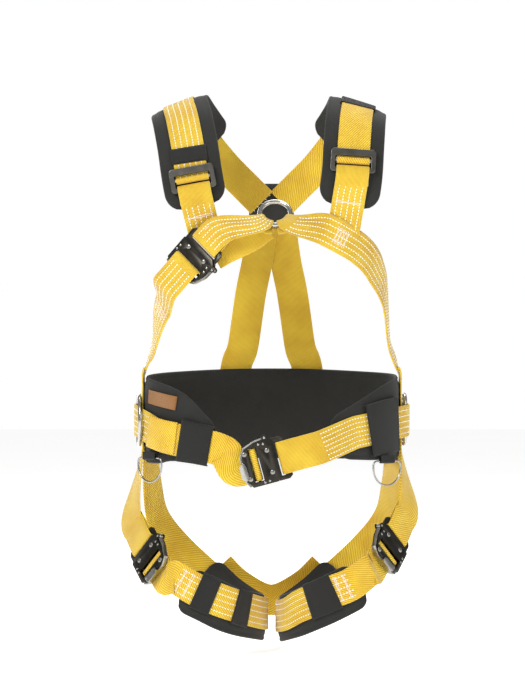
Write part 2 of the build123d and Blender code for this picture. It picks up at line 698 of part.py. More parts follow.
for side, plane in legPlanes.items():
    facing = np.array(tuple(plane.y_dir))
    fold = inPlane(plane, frameFold())[::-1]
    points, across = legRoute(side, legStops[side])
    sides = [-facing] * len(fold) + across
    add("leg_strap_" + side, band(fold + points, sides))
    root = inPlane(plane, [(rootEnd, 0, 0), (rootEnd + 15, 0, 0)])
    points, across = surfaceRun(onTrunk, hipStops[side], 1)
    add("hip_strap_" + side, band(root + points, [facing] * len(root) + across))
    points, across = legRoute(side, padStops[side])
    add("leg_pad_" + side, band(points, across, 62, padThick))
    keepers = []
    for stops in keeperStops[side]:
        lift = onLegPad + webThick / 2 + 2 * layerGap + sleeveThick / 2
        points, across = legRoute(side, [(angle, height, lift) for angle, height in stops])
        keepers.append(band(points, across, keeperWidth, sleeveThick))
    add("leg_keepers_" + side, *keepers)

add("sub_pelvic_strap", band(*surfaceRun(
    lambda x, y, z: (np.array((x, y, z)), np.array((0, 1, 0))),
    [(-74, 108, -505), (-45, 107, -532), (0, 104, -552), (45, 107, -532), (74, 108, -505)])))

# Write every part, shifted so that the origin is in the dorsal ring

os.makedirs("parts", exist_ok=True)
for name, shape in parts.items():
    moved = shape.moved(Location((0, -ringY, 0)))
    export_step(moved, os.path.join("parts", name + ".step"))
    print(name, round(shape.volume))
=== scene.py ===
import math

import bmesh
import bpy
import numpy as np
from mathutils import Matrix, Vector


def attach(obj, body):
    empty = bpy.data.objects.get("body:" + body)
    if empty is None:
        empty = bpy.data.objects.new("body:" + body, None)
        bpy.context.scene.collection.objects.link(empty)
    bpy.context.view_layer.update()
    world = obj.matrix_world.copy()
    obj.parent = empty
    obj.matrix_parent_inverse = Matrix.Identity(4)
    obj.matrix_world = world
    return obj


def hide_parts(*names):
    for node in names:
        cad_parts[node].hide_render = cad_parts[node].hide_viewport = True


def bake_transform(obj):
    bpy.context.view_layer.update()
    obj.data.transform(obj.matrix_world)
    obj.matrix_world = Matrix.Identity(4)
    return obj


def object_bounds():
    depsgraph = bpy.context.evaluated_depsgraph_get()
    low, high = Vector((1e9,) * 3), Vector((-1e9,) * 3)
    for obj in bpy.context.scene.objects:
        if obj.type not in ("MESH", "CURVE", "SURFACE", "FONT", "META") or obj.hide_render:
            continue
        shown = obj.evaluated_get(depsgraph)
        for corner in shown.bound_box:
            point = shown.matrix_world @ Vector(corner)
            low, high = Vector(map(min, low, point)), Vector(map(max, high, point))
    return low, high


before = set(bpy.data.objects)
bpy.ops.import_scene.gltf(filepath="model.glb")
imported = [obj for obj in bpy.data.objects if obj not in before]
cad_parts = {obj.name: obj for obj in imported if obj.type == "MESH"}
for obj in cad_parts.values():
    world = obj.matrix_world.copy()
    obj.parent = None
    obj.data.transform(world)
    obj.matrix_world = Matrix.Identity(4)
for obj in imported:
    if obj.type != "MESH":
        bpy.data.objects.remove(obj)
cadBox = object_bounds()
print("frame loaded")

# Lengths are in millimetres until makeMesh turns them to metres. +X is the wearer's left,
# -Y the front and +Z up; trunk points are moved back so that the dorsal eye is the origin.
web = {"width": 44.0, "thick": 2.4, "gap": 0.4}
trunk = {
    "heights": (-480, -420, -350, -230, -190, -120, -40, 40),
    "halfWidths": (184, 184, 169, 168, 160, 156, 156, 150),
    "halfDepths": (104, 104, 101, 100, 100, 104, 105, 98),
    "roundness": 2.4,
}
thigh = {"centreX": 98.0, "halfWidth": 82.0, "halfDepth": 95.0}
dorsalHook = 121.5      # how far the dorsal eye stands behind the middle of the trunk
padGap = 0.5
padThick = 7.0
layer = web["thick"] + web["gap"]
onSkin = web["thick"] / 2 + web["gap"]
padMiddle = padGap + padThick / 2
padTop = padGap + padThick
onPad = padTop + web["gap"] + web["thick"] / 2


# points and directions


def unit(vector):
    vector = np.array(vector, float)
    return vector / np.linalg.norm(vector)


def powered(value, power):
    return math.copysign(abs(value) ** power, value)


def toMetres(point):
    return (point[0] / 1000, (point[1] - dorsalHook) / 1000, point[2] / 1000)


def onTrunk(angle, height, lift):
    halfWidth = np.interp(height, trunk["heights"], trunk["halfWidths"])
    halfDepth = np.interp(height, trunk["heights"], trunk["halfDepths"])
    c = math.cos(math.radians(angle))
    s = math.sin(math.radians(angle))
    x = halfWidth * powered(c, 2 / trunk["roundness"])
    y = halfDepth * powered(s, 2 / trunk["roundness"])
    slopeX = powered(x / halfWidth, trunk["roundness"] - 1) / halfWidth
    slopeY = powered(y / halfDepth, trunk["roundness"] - 1) / halfDepth
    out = unit((slopeX, slopeY, 0))
    return np.array((x, y, height)) + out * lift, out


def onThigh(sign, angle, height, lift):
    c = math.cos(math.radians(angle))
    s = math.sin(math.radians(angle))
    out = unit((sign * c / thigh["halfWidth"], s / thigh["halfDepth"], 0))
    foot = (sign * (thigh["centreX"] + thigh["halfWidth"] * c), thigh["halfDepth"] * s, height)
    return np.array(foot) + out * lift, out


def flow(stops, steps=4):
    # a smooth run of values through given stops
    stops = [np.array(stop, float) for stop in stops]
    ends = [stops[0], *stops, stops[-1]]
    run = []
    for a, b, c, d in zip(ends, ends[1:], ends[2:], ends[3:]):
        for step in range(steps):
            t = step / steps
            cubic = (3 * b - a - 3 * c + d) * t**3
            run.append(0.5 * (2 * b + (c - a) * t + (2 * a - 5 * b + 4 * c - d) * t**2 + cubic))
    return run + [stops[-1]]


def tangents(points):
    points = [np.array(p, float) for p in points]
    ahead = points[1:] + points[-1:]
    behind = points[:1] + points[:-1]
    return [unit(b - a) for a, b in zip(behind, ahead)]


def surfaceRun(place, stops, steps=4):
    found = [place(*stop) for stop in flow(stops, steps)]
    points = [point for point, out in found]
    across = [unit(np.cross(t, out)) for (point, out), t in zip(found, tangents(points))]
    return points, across


def makePlane(point, out, toward):
    # an origin with its u, v and outward directions
    out = unit(out)
    toward = np.array(toward, float)
    u = unit(toward - out * np.dot(out, toward))
    return {"origin": np.array(point, float), "u": u, "v": np.cross(out, u), "n": out}


def fromPlane(plane, rows):
    u, v, n = plane["u"], plane["v"], plane["n"]
    return [plane["origin"] + row[0] * u + row[1] * v + row[2] * n for row in rows]


def turn(centre, radius, start, end, steps=6):
    rows = []
    for step in range(steps + 1):
        a = math.radians(start + (end - start) * step / steps)
        rows.append((centre[0] + radius * math.cos(a), 0, centre[1] + radius * math.sin(a)))
    return rows


# meshes


def makeMesh(name, points, faces, uvs=None, smooth=True):
    # points are in millimetres in the trunk's frame; the object stands at the origin
    mesh = bpy.data.meshes.new(name)
    mesh.from_pydata([toMetres(point) for point in points], [], faces)
    if uvs:
        layerUv = mesh.uv_layers.new(name="webUV")
        for loop in mesh.loops:
            layerUv.data[loop.index].uv = uvs[loop.vertex_index]
    for polygon in mesh.polygons:
        polygon.use_smooth = smooth
    mesh.validate()
    return linkedObject(name, mesh)


def finishPiece(obj, body, nodes=(), material=None):
    if material:
        obj.data.materials.clear()
        obj.data.materials.append(material)
    if body:
        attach(obj, body)
    if nodes:
        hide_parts(*nodes)
    return obj


def extras(points, width):
    widths = [width] * len(points) if np.isscalar(width) else width
    return [np.array((w,)) for w in widths]


def widthsOf(stops):
    return [float(row[0]) for row in flow([(w,) for w in stops])]


def linkedObject(name, data):
    obj = bpy.data.objects.new(name, data)
    bpy.context.scene.collection.objects.link(obj)
    return obj


def between(low, high, start, end, t):
    return low + (high - low) * (t - start) / (end - start)


def evenly(points, across, extra, spacing):
    # even steps along a smooth line through the points, with the other values carried along
    rows = np.array([np.concatenate([p, a, e]) for p, a, e in zip(points, across, extra)])
    rows = np.vstack([2 * rows[0] - rows[1], rows, 2 * rows[-1] - rows[-2]])
    fine = []
    for a, b, c, d in zip(rows, rows[1:], rows[2:], rows[3:]):
        knots = [0.0]
        for before, after in ((a, b), (b, c), (c, d)):
            knots.append(knots[-1] + max(0.05, float(np.linalg.norm(after[:3] - before[:3]))) ** 0.5)
        steps = max(1, int(np.linalg.norm(c[:3] - b[:3]) / spacing * 2))
        for t in np.linspace(knots[1], knots[2], steps, endpoint=False):
            first = between(a, b, knots[0], knots[1], t)
            second = between(b, c, knots[1], knots[2], t)
            third = between(c, d, knots[2], knots[3], t)
            low = between(first, second, knots[0], knots[2], t)
            high = between(second, third, knots[1], knots[3], t)
            fine.append(between(low, high, knots[1], knots[2], t))
    fine.append(rows[-2])
    lengths = [0.0]
    for a, b in zip(fine, fine[1:]):
        lengths.append(lengths[-1] + float(np.linalg.norm(b[:3] - a[:3])))
    count = max(2, int(round(lengths[-1] / spacing)))
    wanted = np.linspace(0, lengths[-1], count + 1)
    fine = np.array(fine)
    table = np.array([np.interp(wanted, lengths, column) for column in fine.T]).T
    places = [row[:3] for row in table]
    sides = [unit(row[3:6]) for row in table]
    return places, sides, [row[6:] for row in table], wanted


def frames(points, across):
    found = []
    for point, side, t in zip(points, across, tangents(points)):
        side = unit(side - t * np.dot(side, t))
        found.append((point, side, np.cross(side, t), t))
    return found


def clothGrid(name, grid, thick, width):
    # cloth of even thickness from rows of points, with across and along coordinates as UV
    grid = np.array(grid, float)
    along = np.gradient(grid, axis=0)
    cross = np.gradient(grid, axis=1)
    out = np.cross(cross, along)
    out /= np.maximum(np.linalg.norm(out, axis=2, keepdims=True), 1e-9)
    rows, cols = grid.shape[:2]
    middle = grid[:, cols // 2]
    lengths = np.concatenate([[0], np.cumsum(np.linalg.norm(np.diff(middle, axis=0), axis=1))])
    shares = np.linspace(-0.5, 0.5, cols)
    edge = np.where(np.abs(shares) > 0.49, 0.6, 1.0)[None, :, None] * thick / 2
    tops = (grid + out * edge).reshape(-1, 3)
    bottoms = (grid - out * edge).reshape(-1, 3)
    flat = [(shares[j] * width / 1000, lengths[i] / 1000) for i in range(rows) for j in range(cols)]
    faces = []
    far = rows * cols
    for i in range(rows - 1):
        for j in range(cols - 1):
            quad = (i * cols + j, i * cols + j + 1, (i + 1) * cols + j + 1, (i + 1) * cols + j)
            faces.append(quad)
            faces.append(tuple(far + c for c in quad[::-1]))
        for j in (0, cols - 1):
            quad = (i * cols + j, (i + 1) * cols + j, far + (i + 1) * cols + j, far + i * cols + j)
            faces.append(quad if j else quad[::-1])
    for i in (0, rows - 1):
        for j in range(cols - 1):
            quad = (i * cols + j, i * cols + j + 1, far + i * cols + j + 1, far + i * cols + j)
            faces.append(quad if i else quad[::-1])
    obj = makeMesh(name, list(tops) + list(bottoms), faces, flat + flat)
    tidyMesh(obj, 0.0000001)
    return obj, grid, out


def gridLine(grid, out, share, start, end, lift):
    # a line along the cloth's length at a share of its width from the middle
    column = (share + 0.5) * (grid.shape[1] - 1)
    low = int(min(column, grid.shape[1] - 2))
    part = column - low
    line = []
    for i in range(start, end):
        point = grid[i, low] * (1 - part) + grid[i, low + 1] * part
        line.append((point + out[i, low] * lift, out[i, low]))
    return line


# The webbing's section, as shares of its half width and half thickness, once round.
webSection = [(-1, 0), (-0.985, 0.62), (-0.94, 1), (-0.6, 1), (-0.3, 1), (0, 1), (0.3, 1), (0.6, 1),
              (0.94, 1), (0.985, 0.62), (1, 0), (0.985, -0.62), (0.94, -1), (0.5, -1), (0, -1),
              (-0.5, -1), (-0.94, -1), (-0.985, -0.62)]


def strapMesh(name, points, across, width=None, thick=None, wander=0.25, spacing=3.0):
    # a closed strap with its own across and along coordinates, in metres, as its UV map
    thick = thick or web["thick"]
    extra = extras(points, width or web["width"])
    points, across, extra, lengths = evenly(points, across, extra, spacing)
    verts, uvs, faces = [], [], []
    for index, (point, side, out, t) in enumerate(frames(points, across)):
        wide = extra[index][0]
        sway = wander * math.sin(lengths[index] / 31 + len(name)) * math.sin(lengths[index] / 17)
        for a, b in webSection:
            cup = 0.25 * wander * (1 - a * a)
            verts.append(point + side * a * wide / 2 + out * (b * thick / 2 + sway * 0.3 + cup))
            uvs.append((a * wide / 2000, lengths[index] / 1000))
    ring = len(webSection)
    rows = len(points)
    for i in range(rows - 1):
        for j in range(ring):
            k = (j + 1) % ring
            faces.append((i * ring + j, (i + 1) * ring + j, (i + 1) * ring + k, i * ring + k))
    faces.append(tuple(range(ring)))
    faces.append(tuple(range((rows - 1) * ring, rows * ring))[::-1])
    obj = makeMesh(name, verts, faces, uvs)
    mesh = bmesh.new()
    mesh.from_mesh(obj.data)
    bmesh.ops.recalc_face_normals(mesh, faces=mesh.faces)
    mesh.to_mesh(obj.data)
    mesh.free()
    return obj


def strapPiece(name, points, across, nodes, look, **shape):
    obj = strapMesh(name, points, across, **shape)
    return finishPiece(obj, "harness", nodes, look)


# a pad's height, as a share of its half thickness, by millimetres from its outline
padSteps = ((0, 0), (0.5, 0.26), (1.6, 0.42), (4.6, 0.42), (5.4, 0.3), (7, 0.56),
            (11, 0.86), (18, 1), (60, 1.06))


def padMesh(name, points, across, width, thick, corner=20, spacing=3.5, cells=22):
    # a quilted pad with a bound edge: its height follows the distance from its outline
    points, across, extra, lengths = evenly(points, across, extras(points, width), spacing)
    total = lengths[-1]
    shares = [math.sin(math.radians(-90 + 180 * i / cells)) * 0.5 + (2 * i / cells - 1) * 0.5
              for i in range(cells + 1)]
    tops, bottoms = [], []
    marks, heights = zip(*padSteps)
    for index, (point, side, out, t) in enumerate(frames(points, across)):
        reach = min(lengths[index], total - lengths[index])
        half = extra[index][0] / 2
        if reach < corner:
            half += math.sqrt(max(0, corner**2 - (corner - reach) ** 2)) - corner
        for a in shares:
            edge = min((1 - abs(a)) * half, reach)
            rise = np.interp(edge, marks, heights) * thick / 2
            rise *= 1 + 0.04 * math.sin(lengths[index] / 9 + a * 3) * math.sin(a * 5 + 1)
            tops.append(point + side * a * half + out * rise)
            bottoms.append(point + side * a * half - out * rise * 0.9)
    wide = cells + 1
    rows = len(points)
    faces = []
    for i in range(rows - 1):
        for j in range(cells):
            corners = (i * wide + j, i * wide + j + 1, (i + 1) * wide + j + 1, (i + 1) * wide + j)
            faces.append(corners)
            faces.append(tuple(rows * wide + c for c in corners[::-1]))
    obj = makeMesh(name, tops + bottoms, faces)
    tidyMesh(obj, 0.00002)
    return obj


def tidyMesh(obj, distance):
    mesh = bmesh.new()
    mesh.from_mesh(obj.data)
    bmesh.ops.remove_doubles(mesh, verts=mesh.verts, dist=distance)
    bmesh.ops.dissolve_degenerate(mesh, edges=mesh.edges, dist=0.00001)
    bmesh.ops.recalc_face_normals(mesh, faces=mesh.faces)
    mesh.to_mesh(obj.data)
    mesh.free()


def cuffMesh(name, points, across, width, drop, thick=1.2, spacing=2.5):
    # a sleeve over a strap, with its two sides turned down towards the body
    outline = [(-1, -drop), (-1, -1.6), (-0.975, -0.4), (-0.93, 0.1), (-0.5, 0.25), (0, 0.3),
               (0.5, 0.25), (0.93, 0.1), (0.975, -0.4), (1, -1.6), (1, -drop)]
    points, across, extra, lengths = evenly(points, across, extras(points, width), spacing)
    verts, uvs, faces = [], [], []
    ring = 2 * len(outline)
    for index, (point, side, out, t) in enumerate(frames(points, across)):
        half = extra[index][0] / 2
        edge = min(index, len(points) - 1 - index)
        roll = 0.35 if edge == 1 else 0.0
        for a, z in outline:
            verts.append(point + side * a * half + out * (z + thick / 2 + roll))
            uvs.append((a * half / 1000, lengths[index] / 1000))
        for a, z in outline[::-1]:
            inner = a * (half - thick)
            low = z - thick / 2 if z > -drop else z
            verts.append(point + side * inner + out * (low - roll * 0.5))
            uvs.append((a * half / 1000, lengths[index] / 1000))
    rows = len(points)
    for i in range(rows - 1):
        for j in range(ring):
            k = (j + 1) % ring
            faces.append((i * ring + j, (i + 1) * ring + j, (i + 1) * ring + k, i * ring + k))
    for base in (0, (rows - 1) * ring):
        for j in range(len(outline) - 1):
            quad = (base + j, base + j + 1, base + ring - 2 - j, base + ring - 1 - j)
            faces.append(quad if base else quad[::-1])
    obj = makeMesh(name, verts, faces, uvs)
    tidyMesh(obj, 0.000001)
    return obj


def wireMesh(name, plane, path, radius, sides=18):
    # round wire along a closed line in a plane
    points = fromPlane(plane, [(u, v, 0) for u, v in path])
    count = len(points)
    verts, faces = [], []
    for i in range(count):
        t = unit(points[(i + 1) % count] - points[i - 1])
        side = np.cross(t, plane["n"])
        for j in range(sides):
            a = 2 * math.pi * j / sides
            verts.append(points[i] + (side * math.cos(a) + plane["n"] * math.sin(a)) * radius)
    for i in range(count):
        for j in range(sides):
            k = (j + 1) % sides
            low, high = i * sides, (i + 1) % count * sides
            faces.append((low + j, low + k, high + k, high + j))
    obj = makeMesh(name, verts, faces)
    tidyMesh(obj, 0.0000005)
    return obj


def dPath(halfBar, corner, leg):
    # a D outline: a straight bar at the top, small corners, legs and a half circle
    wide = halfBar + corner
    path = [(halfBar * s, leg + corner) for s in np.linspace(-1, 1, 13)]
    for step in range(1, 8):
        a = math.radians(90 - 90 * step / 8)
        path.append((halfBar + corner * math.cos(a), leg + corner * math.sin(a)))
    path += [(wide, leg * (1 - s)) for s in np.linspace(0, 1, 5 if leg else 1)]
    for step in range(1, 48):
        a = math.radians(-180 * step / 48)
        path.append((wide * math.cos(a), wide * math.sin(a)))
    path += [(-wide, leg * s) for s in np.linspace(0, 1, 5 if leg else 1)]
    for step in range(1, 8):
        a = math.radians(180 - 90 * step / 8)
        path.append((-halfBar + corner * math.cos(a), leg + corner * math.sin(a)))
    return path


def softened(node, name, body, material, radius, angle=35):
    # a copy of a hard CAD piece with its doubles merged and its edges rounded
    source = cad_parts[node]
    obj = linkedObject(name, source.data.copy())
    mesh = bmesh.new()
    mesh.from_mesh(obj.data)
    bmesh.ops.remove_doubles(mesh, verts=mesh.verts, dist=0.00001)
    bmesh.ops.dissolve_limit(mesh, angle_limit=math.radians(1.5), verts=mesh.verts, edges=mesh.edges)
    for face in mesh.faces:
        face.smooth = True
    mesh.to_mesh(obj.data)
    mesh.free()
    bevel = obj.modifiers.new("edges", "BEVEL")
    bevel.width = radius / 1000
    bevel.segments = 2
    bevel.limit_method = "ANGLE"
    bevel.angle_limit = math.radians(angle)
    bevel.harden_normals = True
    settle(obj)
    finishPiece(obj, body, [node], material)
    return obj


def settle(obj):
    # turns the modifiers' result into the object's own plain mesh
    graph = bpy.context.evaluated_depsgraph_get()
    mesh = bpy.data.meshes.new_from_object(obj.evaluated_get(graph))
    obj.modifiers.clear()
    obj.data = mesh


# materials


def srgb(hexCode):
    shares = [int(hexCode[i:i + 2], 16) / 255 for i in (1, 3, 5)]
    linear = [c / 12.92 if c <= 0.04045 else ((c + 0.055) / 1.055) ** 2.4 for c in shares]
    return (*linear, 1.0)


def addNode(tree, kind, inputs=None, links=None, **settings):
    node = tree.nodes.new(kind)
    for key, value in settings.items():
        setattr(node, key, value)
    for key, value in (inputs or {}).items():
        node.inputs[key].default_value = value
    for key, source in (links or {}).items():
        tree.links.new(source, node.inputs[key])
    return node


def newMaterial(name):
    material = bpy.data.materials.new(name)
    material.use_nodes = True
    tree = material.node_tree
    return material, tree, tree.nodes["Principled BSDF"]


def bandScale(pitch):
    # a wave texture's scale for bands this many millimetres apart
    return 2 * math.pi / 20 / (pitch / 1000)


def webbingMaterial(name, colours, pitch, slant, sheen=0.35):
    # Polyester webbing, woven: dull and slightly fuzzy, with ribs that catch the light.
    # Its real threads are 0.6 mm apart; the ribs are drawn coarser so that they show.
    material, tree, shader = newMaterial(name)
    uv = addNode(tree, "ShaderNodeUVMap", uv_map="webUV")
    turned = addNode(tree, "ShaderNodeMapping", {"Rotation": (0, 0, math.radians(slant))},
                     {"Vector": uv.outputs["UV"]})
    ribs = addNode(tree, "ShaderNodeTexWave", {"Scale": bandScale(pitch), "Distortion": 0.6,
                                               "Detail": 1.0, "Detail Scale": 2.0},
                   {"Vector": turned.outputs["Vector"]}, bands_direction="X")
    place = addNode(tree, "ShaderNodeTexCoord")
    patches = addNode(tree, "ShaderNodeTexNoise", {"Scale": 28.0, "Detail": 3.0},
                      {"Vector": place.outputs["Object"]})
    fuzz = addNode(tree, "ShaderNodeTexNoise", {"Scale": 900.0, "Detail": 2.0},
                   {"Vector": place.outputs["Object"]})
    # painted shade: the first, darker colour fills the troughs between the ribs and the second, lighter
    # colour their crests, following the same wave as the bump
    paintedRibShade = addNode(tree, "ShaderNodeMix", {"A": srgb(colours[0]), "B": srgb(colours[1])},
                  {"Factor": ribs.outputs["Fac"]}, data_type="RGBA")
    ramp = addNode(tree, "ShaderNodeValToRGB", links={"Fac": patches.outputs["Fac"]})
    ramp.color_ramp.elements[0].position = 0.3
    ramp.color_ramp.elements[0].color = srgb("#efe3c8")
    ramp.color_ramp.elements[1].position = 0.65
    ramp.color_ramp.elements[1].color = srgb("#ffffff")
    worn = addNode(tree, "ShaderNodeMix", {"Factor": 1.0}, data_type="RGBA", blend_type="MULTIPLY")
    tree.links.new(paintedRibShade.outputs["Result"], worn.inputs["A"])
    tree.links.new(ramp.outputs["Color"], worn.inputs["B"])
    tree.links.new(worn.outputs["Result"], shader.inputs["Base Color"])
    height = addNode(tree, "ShaderNodeMath", {1: 0.35}, {0: fuzz.outputs["Fac"]}, operation="MULTIPLY")
    both = addNode(tree, "ShaderNodeMath", {}, {0: height.outputs[0], 1: ribs.outputs["Fac"]},
                   operation="ADD")
    bump = addNode(tree, "ShaderNodeBump", {"Strength": 0.8, "Distance": 0.0007},
                   {"Height": both.outputs[0]})
    tree.links.new(bump.outputs["Normal"], shader.inputs["Normal"])
    shader.inputs["Roughness"].default_value = 0.72
    shader.inputs["Sheen Weight"].default_value = sheen
    shader.inputs["Sheen Roughness"].default_value = 0.4
    return material


def fabricMaterial(name, colours, grain, strength, roughness=0.85):
    # Black pad cover, woven polyester over foam: matt, with a pebbled weave 1.4 mm apart.
    material, tree, shader = newMaterial(name)
    place = addNode(tree, "ShaderNodeTexCoord")
    cells = addNode(tree, "ShaderNodeTexVoronoi", {"Scale": 1000 / grain},
                    {"Vector": place.outputs["Object"]})
    dust = addNode(tree, "ShaderNodeTexNoise", {"Scale": 35.0, "Detail": 6.0},
                   {"Vector": place.outputs["Object"]})
    mix = addNode(tree, "ShaderNodeMix", {"A": srgb(colours[0]), "B": srgb(colours[1])},
                  {"Factor": dust.outputs["Fac"]}, data_type="RGBA")
    tree.links.new(mix.outputs["Result"], shader.inputs["Base Color"])
    bump = addNode(tree, "ShaderNodeBump", {"Strength": strength, "Distance": 0.0004},
                   {"Height": cells.outputs["Distance"]})
    tree.links.new(bump.outputs["Normal"], shader.inputs["Normal"])
    shader.inputs["Roughness"].default_value = roughness
    shader.inputs["Sheen Weight"].default_value = 0.08
    return material


def metalMaterial(name, colours, roughness, grain, strength):
    # Metal with its finish varied a little over the surface and fine marks from handling.
    material, tree, shader = newMaterial(name)
    place = addNode(tree, "ShaderNodeTexCoord")
    marks = addNode(tree, "ShaderNodeTexNoise", {"Scale": grain, "Detail": 5.0, "Roughness": 0.6},
                    {"Vector": place.outputs["Object"]})
    mix = addNode(tree, "ShaderNodeMix", {"A": srgb(colours[0]), "B": srgb(colours[1])},
                  {"Factor": marks.outputs["Fac"]}, data_type="RGBA")
    tree.links.new(mix.outputs["Result"], shader.inputs["Base Color"])
    spread = addNode(tree, "ShaderNodeMapRange", {"To Min": roughness[0], "To Max": roughness[1]},
                     {"Value": marks.outputs["Fac"]})
    tree.links.new(spread.outputs["Result"], shader.inputs["Roughness"])
    bump = addNode(tree, "ShaderNodeBump", {"Strength": strength, "Distance": 0.0001},
                   {"Height": marks.outputs["Fac"]})
    tree.links.new(bump.outputs["Normal"], shader.inputs["Normal"])
    shader.inputs["Metallic"].default_value = 1.0
    return material


# each pair: painted shade for the rib troughs first, then the crest colour
yellowLined = webbingMaterial("yellowPolyesterWebbing", ("#cda01c", "#f0d238"), 1.6, 0)
yellowTwill = webbingMaterial("yellowPolyesterTwill", ("#c89a17", "#f1d339"), 2.6, 38)
blackElastic = webbingMaterial("blackNylonKeeper", ("#0a0a08", "#171713"), 1.4, 90, 0.05)
orangeLabel = webbingMaterial("orangeWovenLabel", ("#8a5a1c", "#a8702a"), 0.9, 45, 0.2)
blackPad = fabricMaterial("blackPadCover", ("#11110e", "#1f1f1b"), 1.4, 0.6)
whiteThread = fabricMaterial("whiteReflectiveThread", ("#e9e6da", "#fbfaf4"), 0.5, 0.2, 0.5)
pinkThread = fabricMaterial("paleBarTackThread", ("#dcc3b4", "#f3e3d8"), 0.5, 0.2, 0.6)
slideSteel = metalMaterial("phosphatedSlideSteel", ("#4a4844", "#76736c"), (0.28, 0.45), 70, 0.2)
blackSteel = metalMaterial("blackZincPlatedSteel", ("#2a2825", "#4b4842"), (0.26, 0.42), 60, 0.15)
leverSteel = metalMaterial("brushedZincSteel", ("#8c8a84", "#bdbbb4"), (0.2, 0.34), 120, 0.1)
rivetSteel = metalMaterial("nickelRivetSteel", ("#75736e", "#a3a19a"), (0.22, 0.36), 150, 0.1)
ringSteel = metalMaterial("polishedForgedSteel", ("#a09e98", "#cfcdc7"), (0.12, 0.24), 90, 0.08)
platePlastic = fabricMaterial("blackMouldedPlastic", ("#1a1a18", "#262624"), 2.5, 0.25, 0.5)
print("materials made")

view = {"x": -0.0128, "z": -0.1958, "distance": 3.4, "lens": 122.0}
cameraData = bpy.data.cameras.new("camera")
cameraData.lens = view["lens"]
cameraData.sensor_height = 36.0
cameraData.sensor_fit = "VERTICAL"
cameraData.clip_end = 50.0
camera = linkedObject("camera", cameraData)
camera.location = (view["x"], -view["distance"], view["z"])
camera.rotation_euler = (math.radians(90), 0, 0)
bpy.context.scene.camera = camera
bpy.context.scene.view_settings.view_transform = "Standard"

lamps = {
    "key": {"at": (-1.3, -2.2, 1.5), "size": 1.1, "power": 56.0},
    "fill": {"at": (1.7, -2.0, 0.3), "size": 1.4, "power": 14.0},
    "top": {"at": (0.3, 0.6, 2.0), "size": 1.2, "power": 30.0},
    "behind": {"at": (-0.8, 2.2, 0.6), "size": 1.3, "power": 26.0},
}
for name, lamp in lamps.items():
    data = bpy.data.lights.new(name, "AREA")
    data.energy = lamp["power"]
    data.size = lamp["size"]
    light = linkedObject(name, data)
    light.location = lamp["at"]
    away = np.array(lamp["at"]) - np.array((0, -0.12, -0.25))
    pitch = math.acos(away[2] / np.linalg.norm(away))
    light.rotation_euler = (pitch, 0, math.atan2(away[1], away[0]) + math.pi / 2)

world = bpy.data.worlds.new("paleRoom")
world.use_nodes = True
bpy.context.scene.world = world
worldTree = world.node_tree
seen = addNode(worldTree, "ShaderNodeLightPath")
backdrop = worldTree.nodes["Background"]
backdrop.inputs["Color"].default_value = (1, 1, 1, 1)
strength = addNode(worldTree, "ShaderNodeMapRange", {"To Min": 0.36, "To Max": 1.0},
                   {"Value": seen.outputs["Is Camera Ray"]})
worldTree.links.new(strength.outputs["Result"], backdrop.inputs["Strength"])

floorDrop = 0.012
floorLevel = cadBox[0][2] - floorDrop
floorMesh = bpy.data.meshes.new("floor")
floorMesh.from_pydata([(x, y, floorLevel) for x, y in ((-9, -9), (9, -9), (9, 9), (-9, 9))], [],
                      [(0, 1, 2, 3)])
floor = linkedObject("floor", floorMesh)
paleFloor, floorTree, floorShader = newMaterial("palePaintedFloor")
grit = addNode(floorTree, "ShaderNodeTexNoise", {"Scale": 40.0})
floorMix = addNode(floorTree, "ShaderNodeMix", {"A": srgb("#f7f7f5"), "B": srgb("#ffffff")},
                   {"Factor": grit.outputs["Fac"]}, data_type="RGBA")
floorTree.links.new(floorMix.outputs["Result"], floorShader.inputs["Base Color"])
floorShader.inputs["Roughness"].default_value = 0.9
floorShader.inputs["Emission Color"].default_value = (1, 1, 1, 1)
floorShader.inputs["Emission Strength"].default_value = 0.6
floorMesh.materials.append(paleFloor)

# repeated details, made by geometry nodes


def newTree(name, sizes):
    # a node group with one geometry in, one out, and a named input for each size
    tree = bpy.data.node_groups.new(name, "GeometryNodeTree")
    tree.interface.new_socket("Geometry", in_out="INPUT", socket_type="NodeSocketGeometry")
    for key, kind in sizes.items():
        tree.interface.new_socket(key, in_out="INPUT", socket_type=kind)
    tree.interface.new_socket("Geometry", in_out="OUTPUT", socket_type="NodeSocketGeometry")
    return tree, tree.nodes.new("NodeGroupInput"), tree.nodes.new("NodeGroupOutput")


def endTree(tree, geometry, group, out):
    real = addNode(tree, "GeometryNodeRealizeInstances", links={0: geometry})
    painted = addNode(tree, "GeometryNodeSetMaterial",
                      links={"Geometry": real.outputs[0], "Material": group.outputs["Material"]})
    tree.links.new(painted.outputs[0], out.inputs[0])


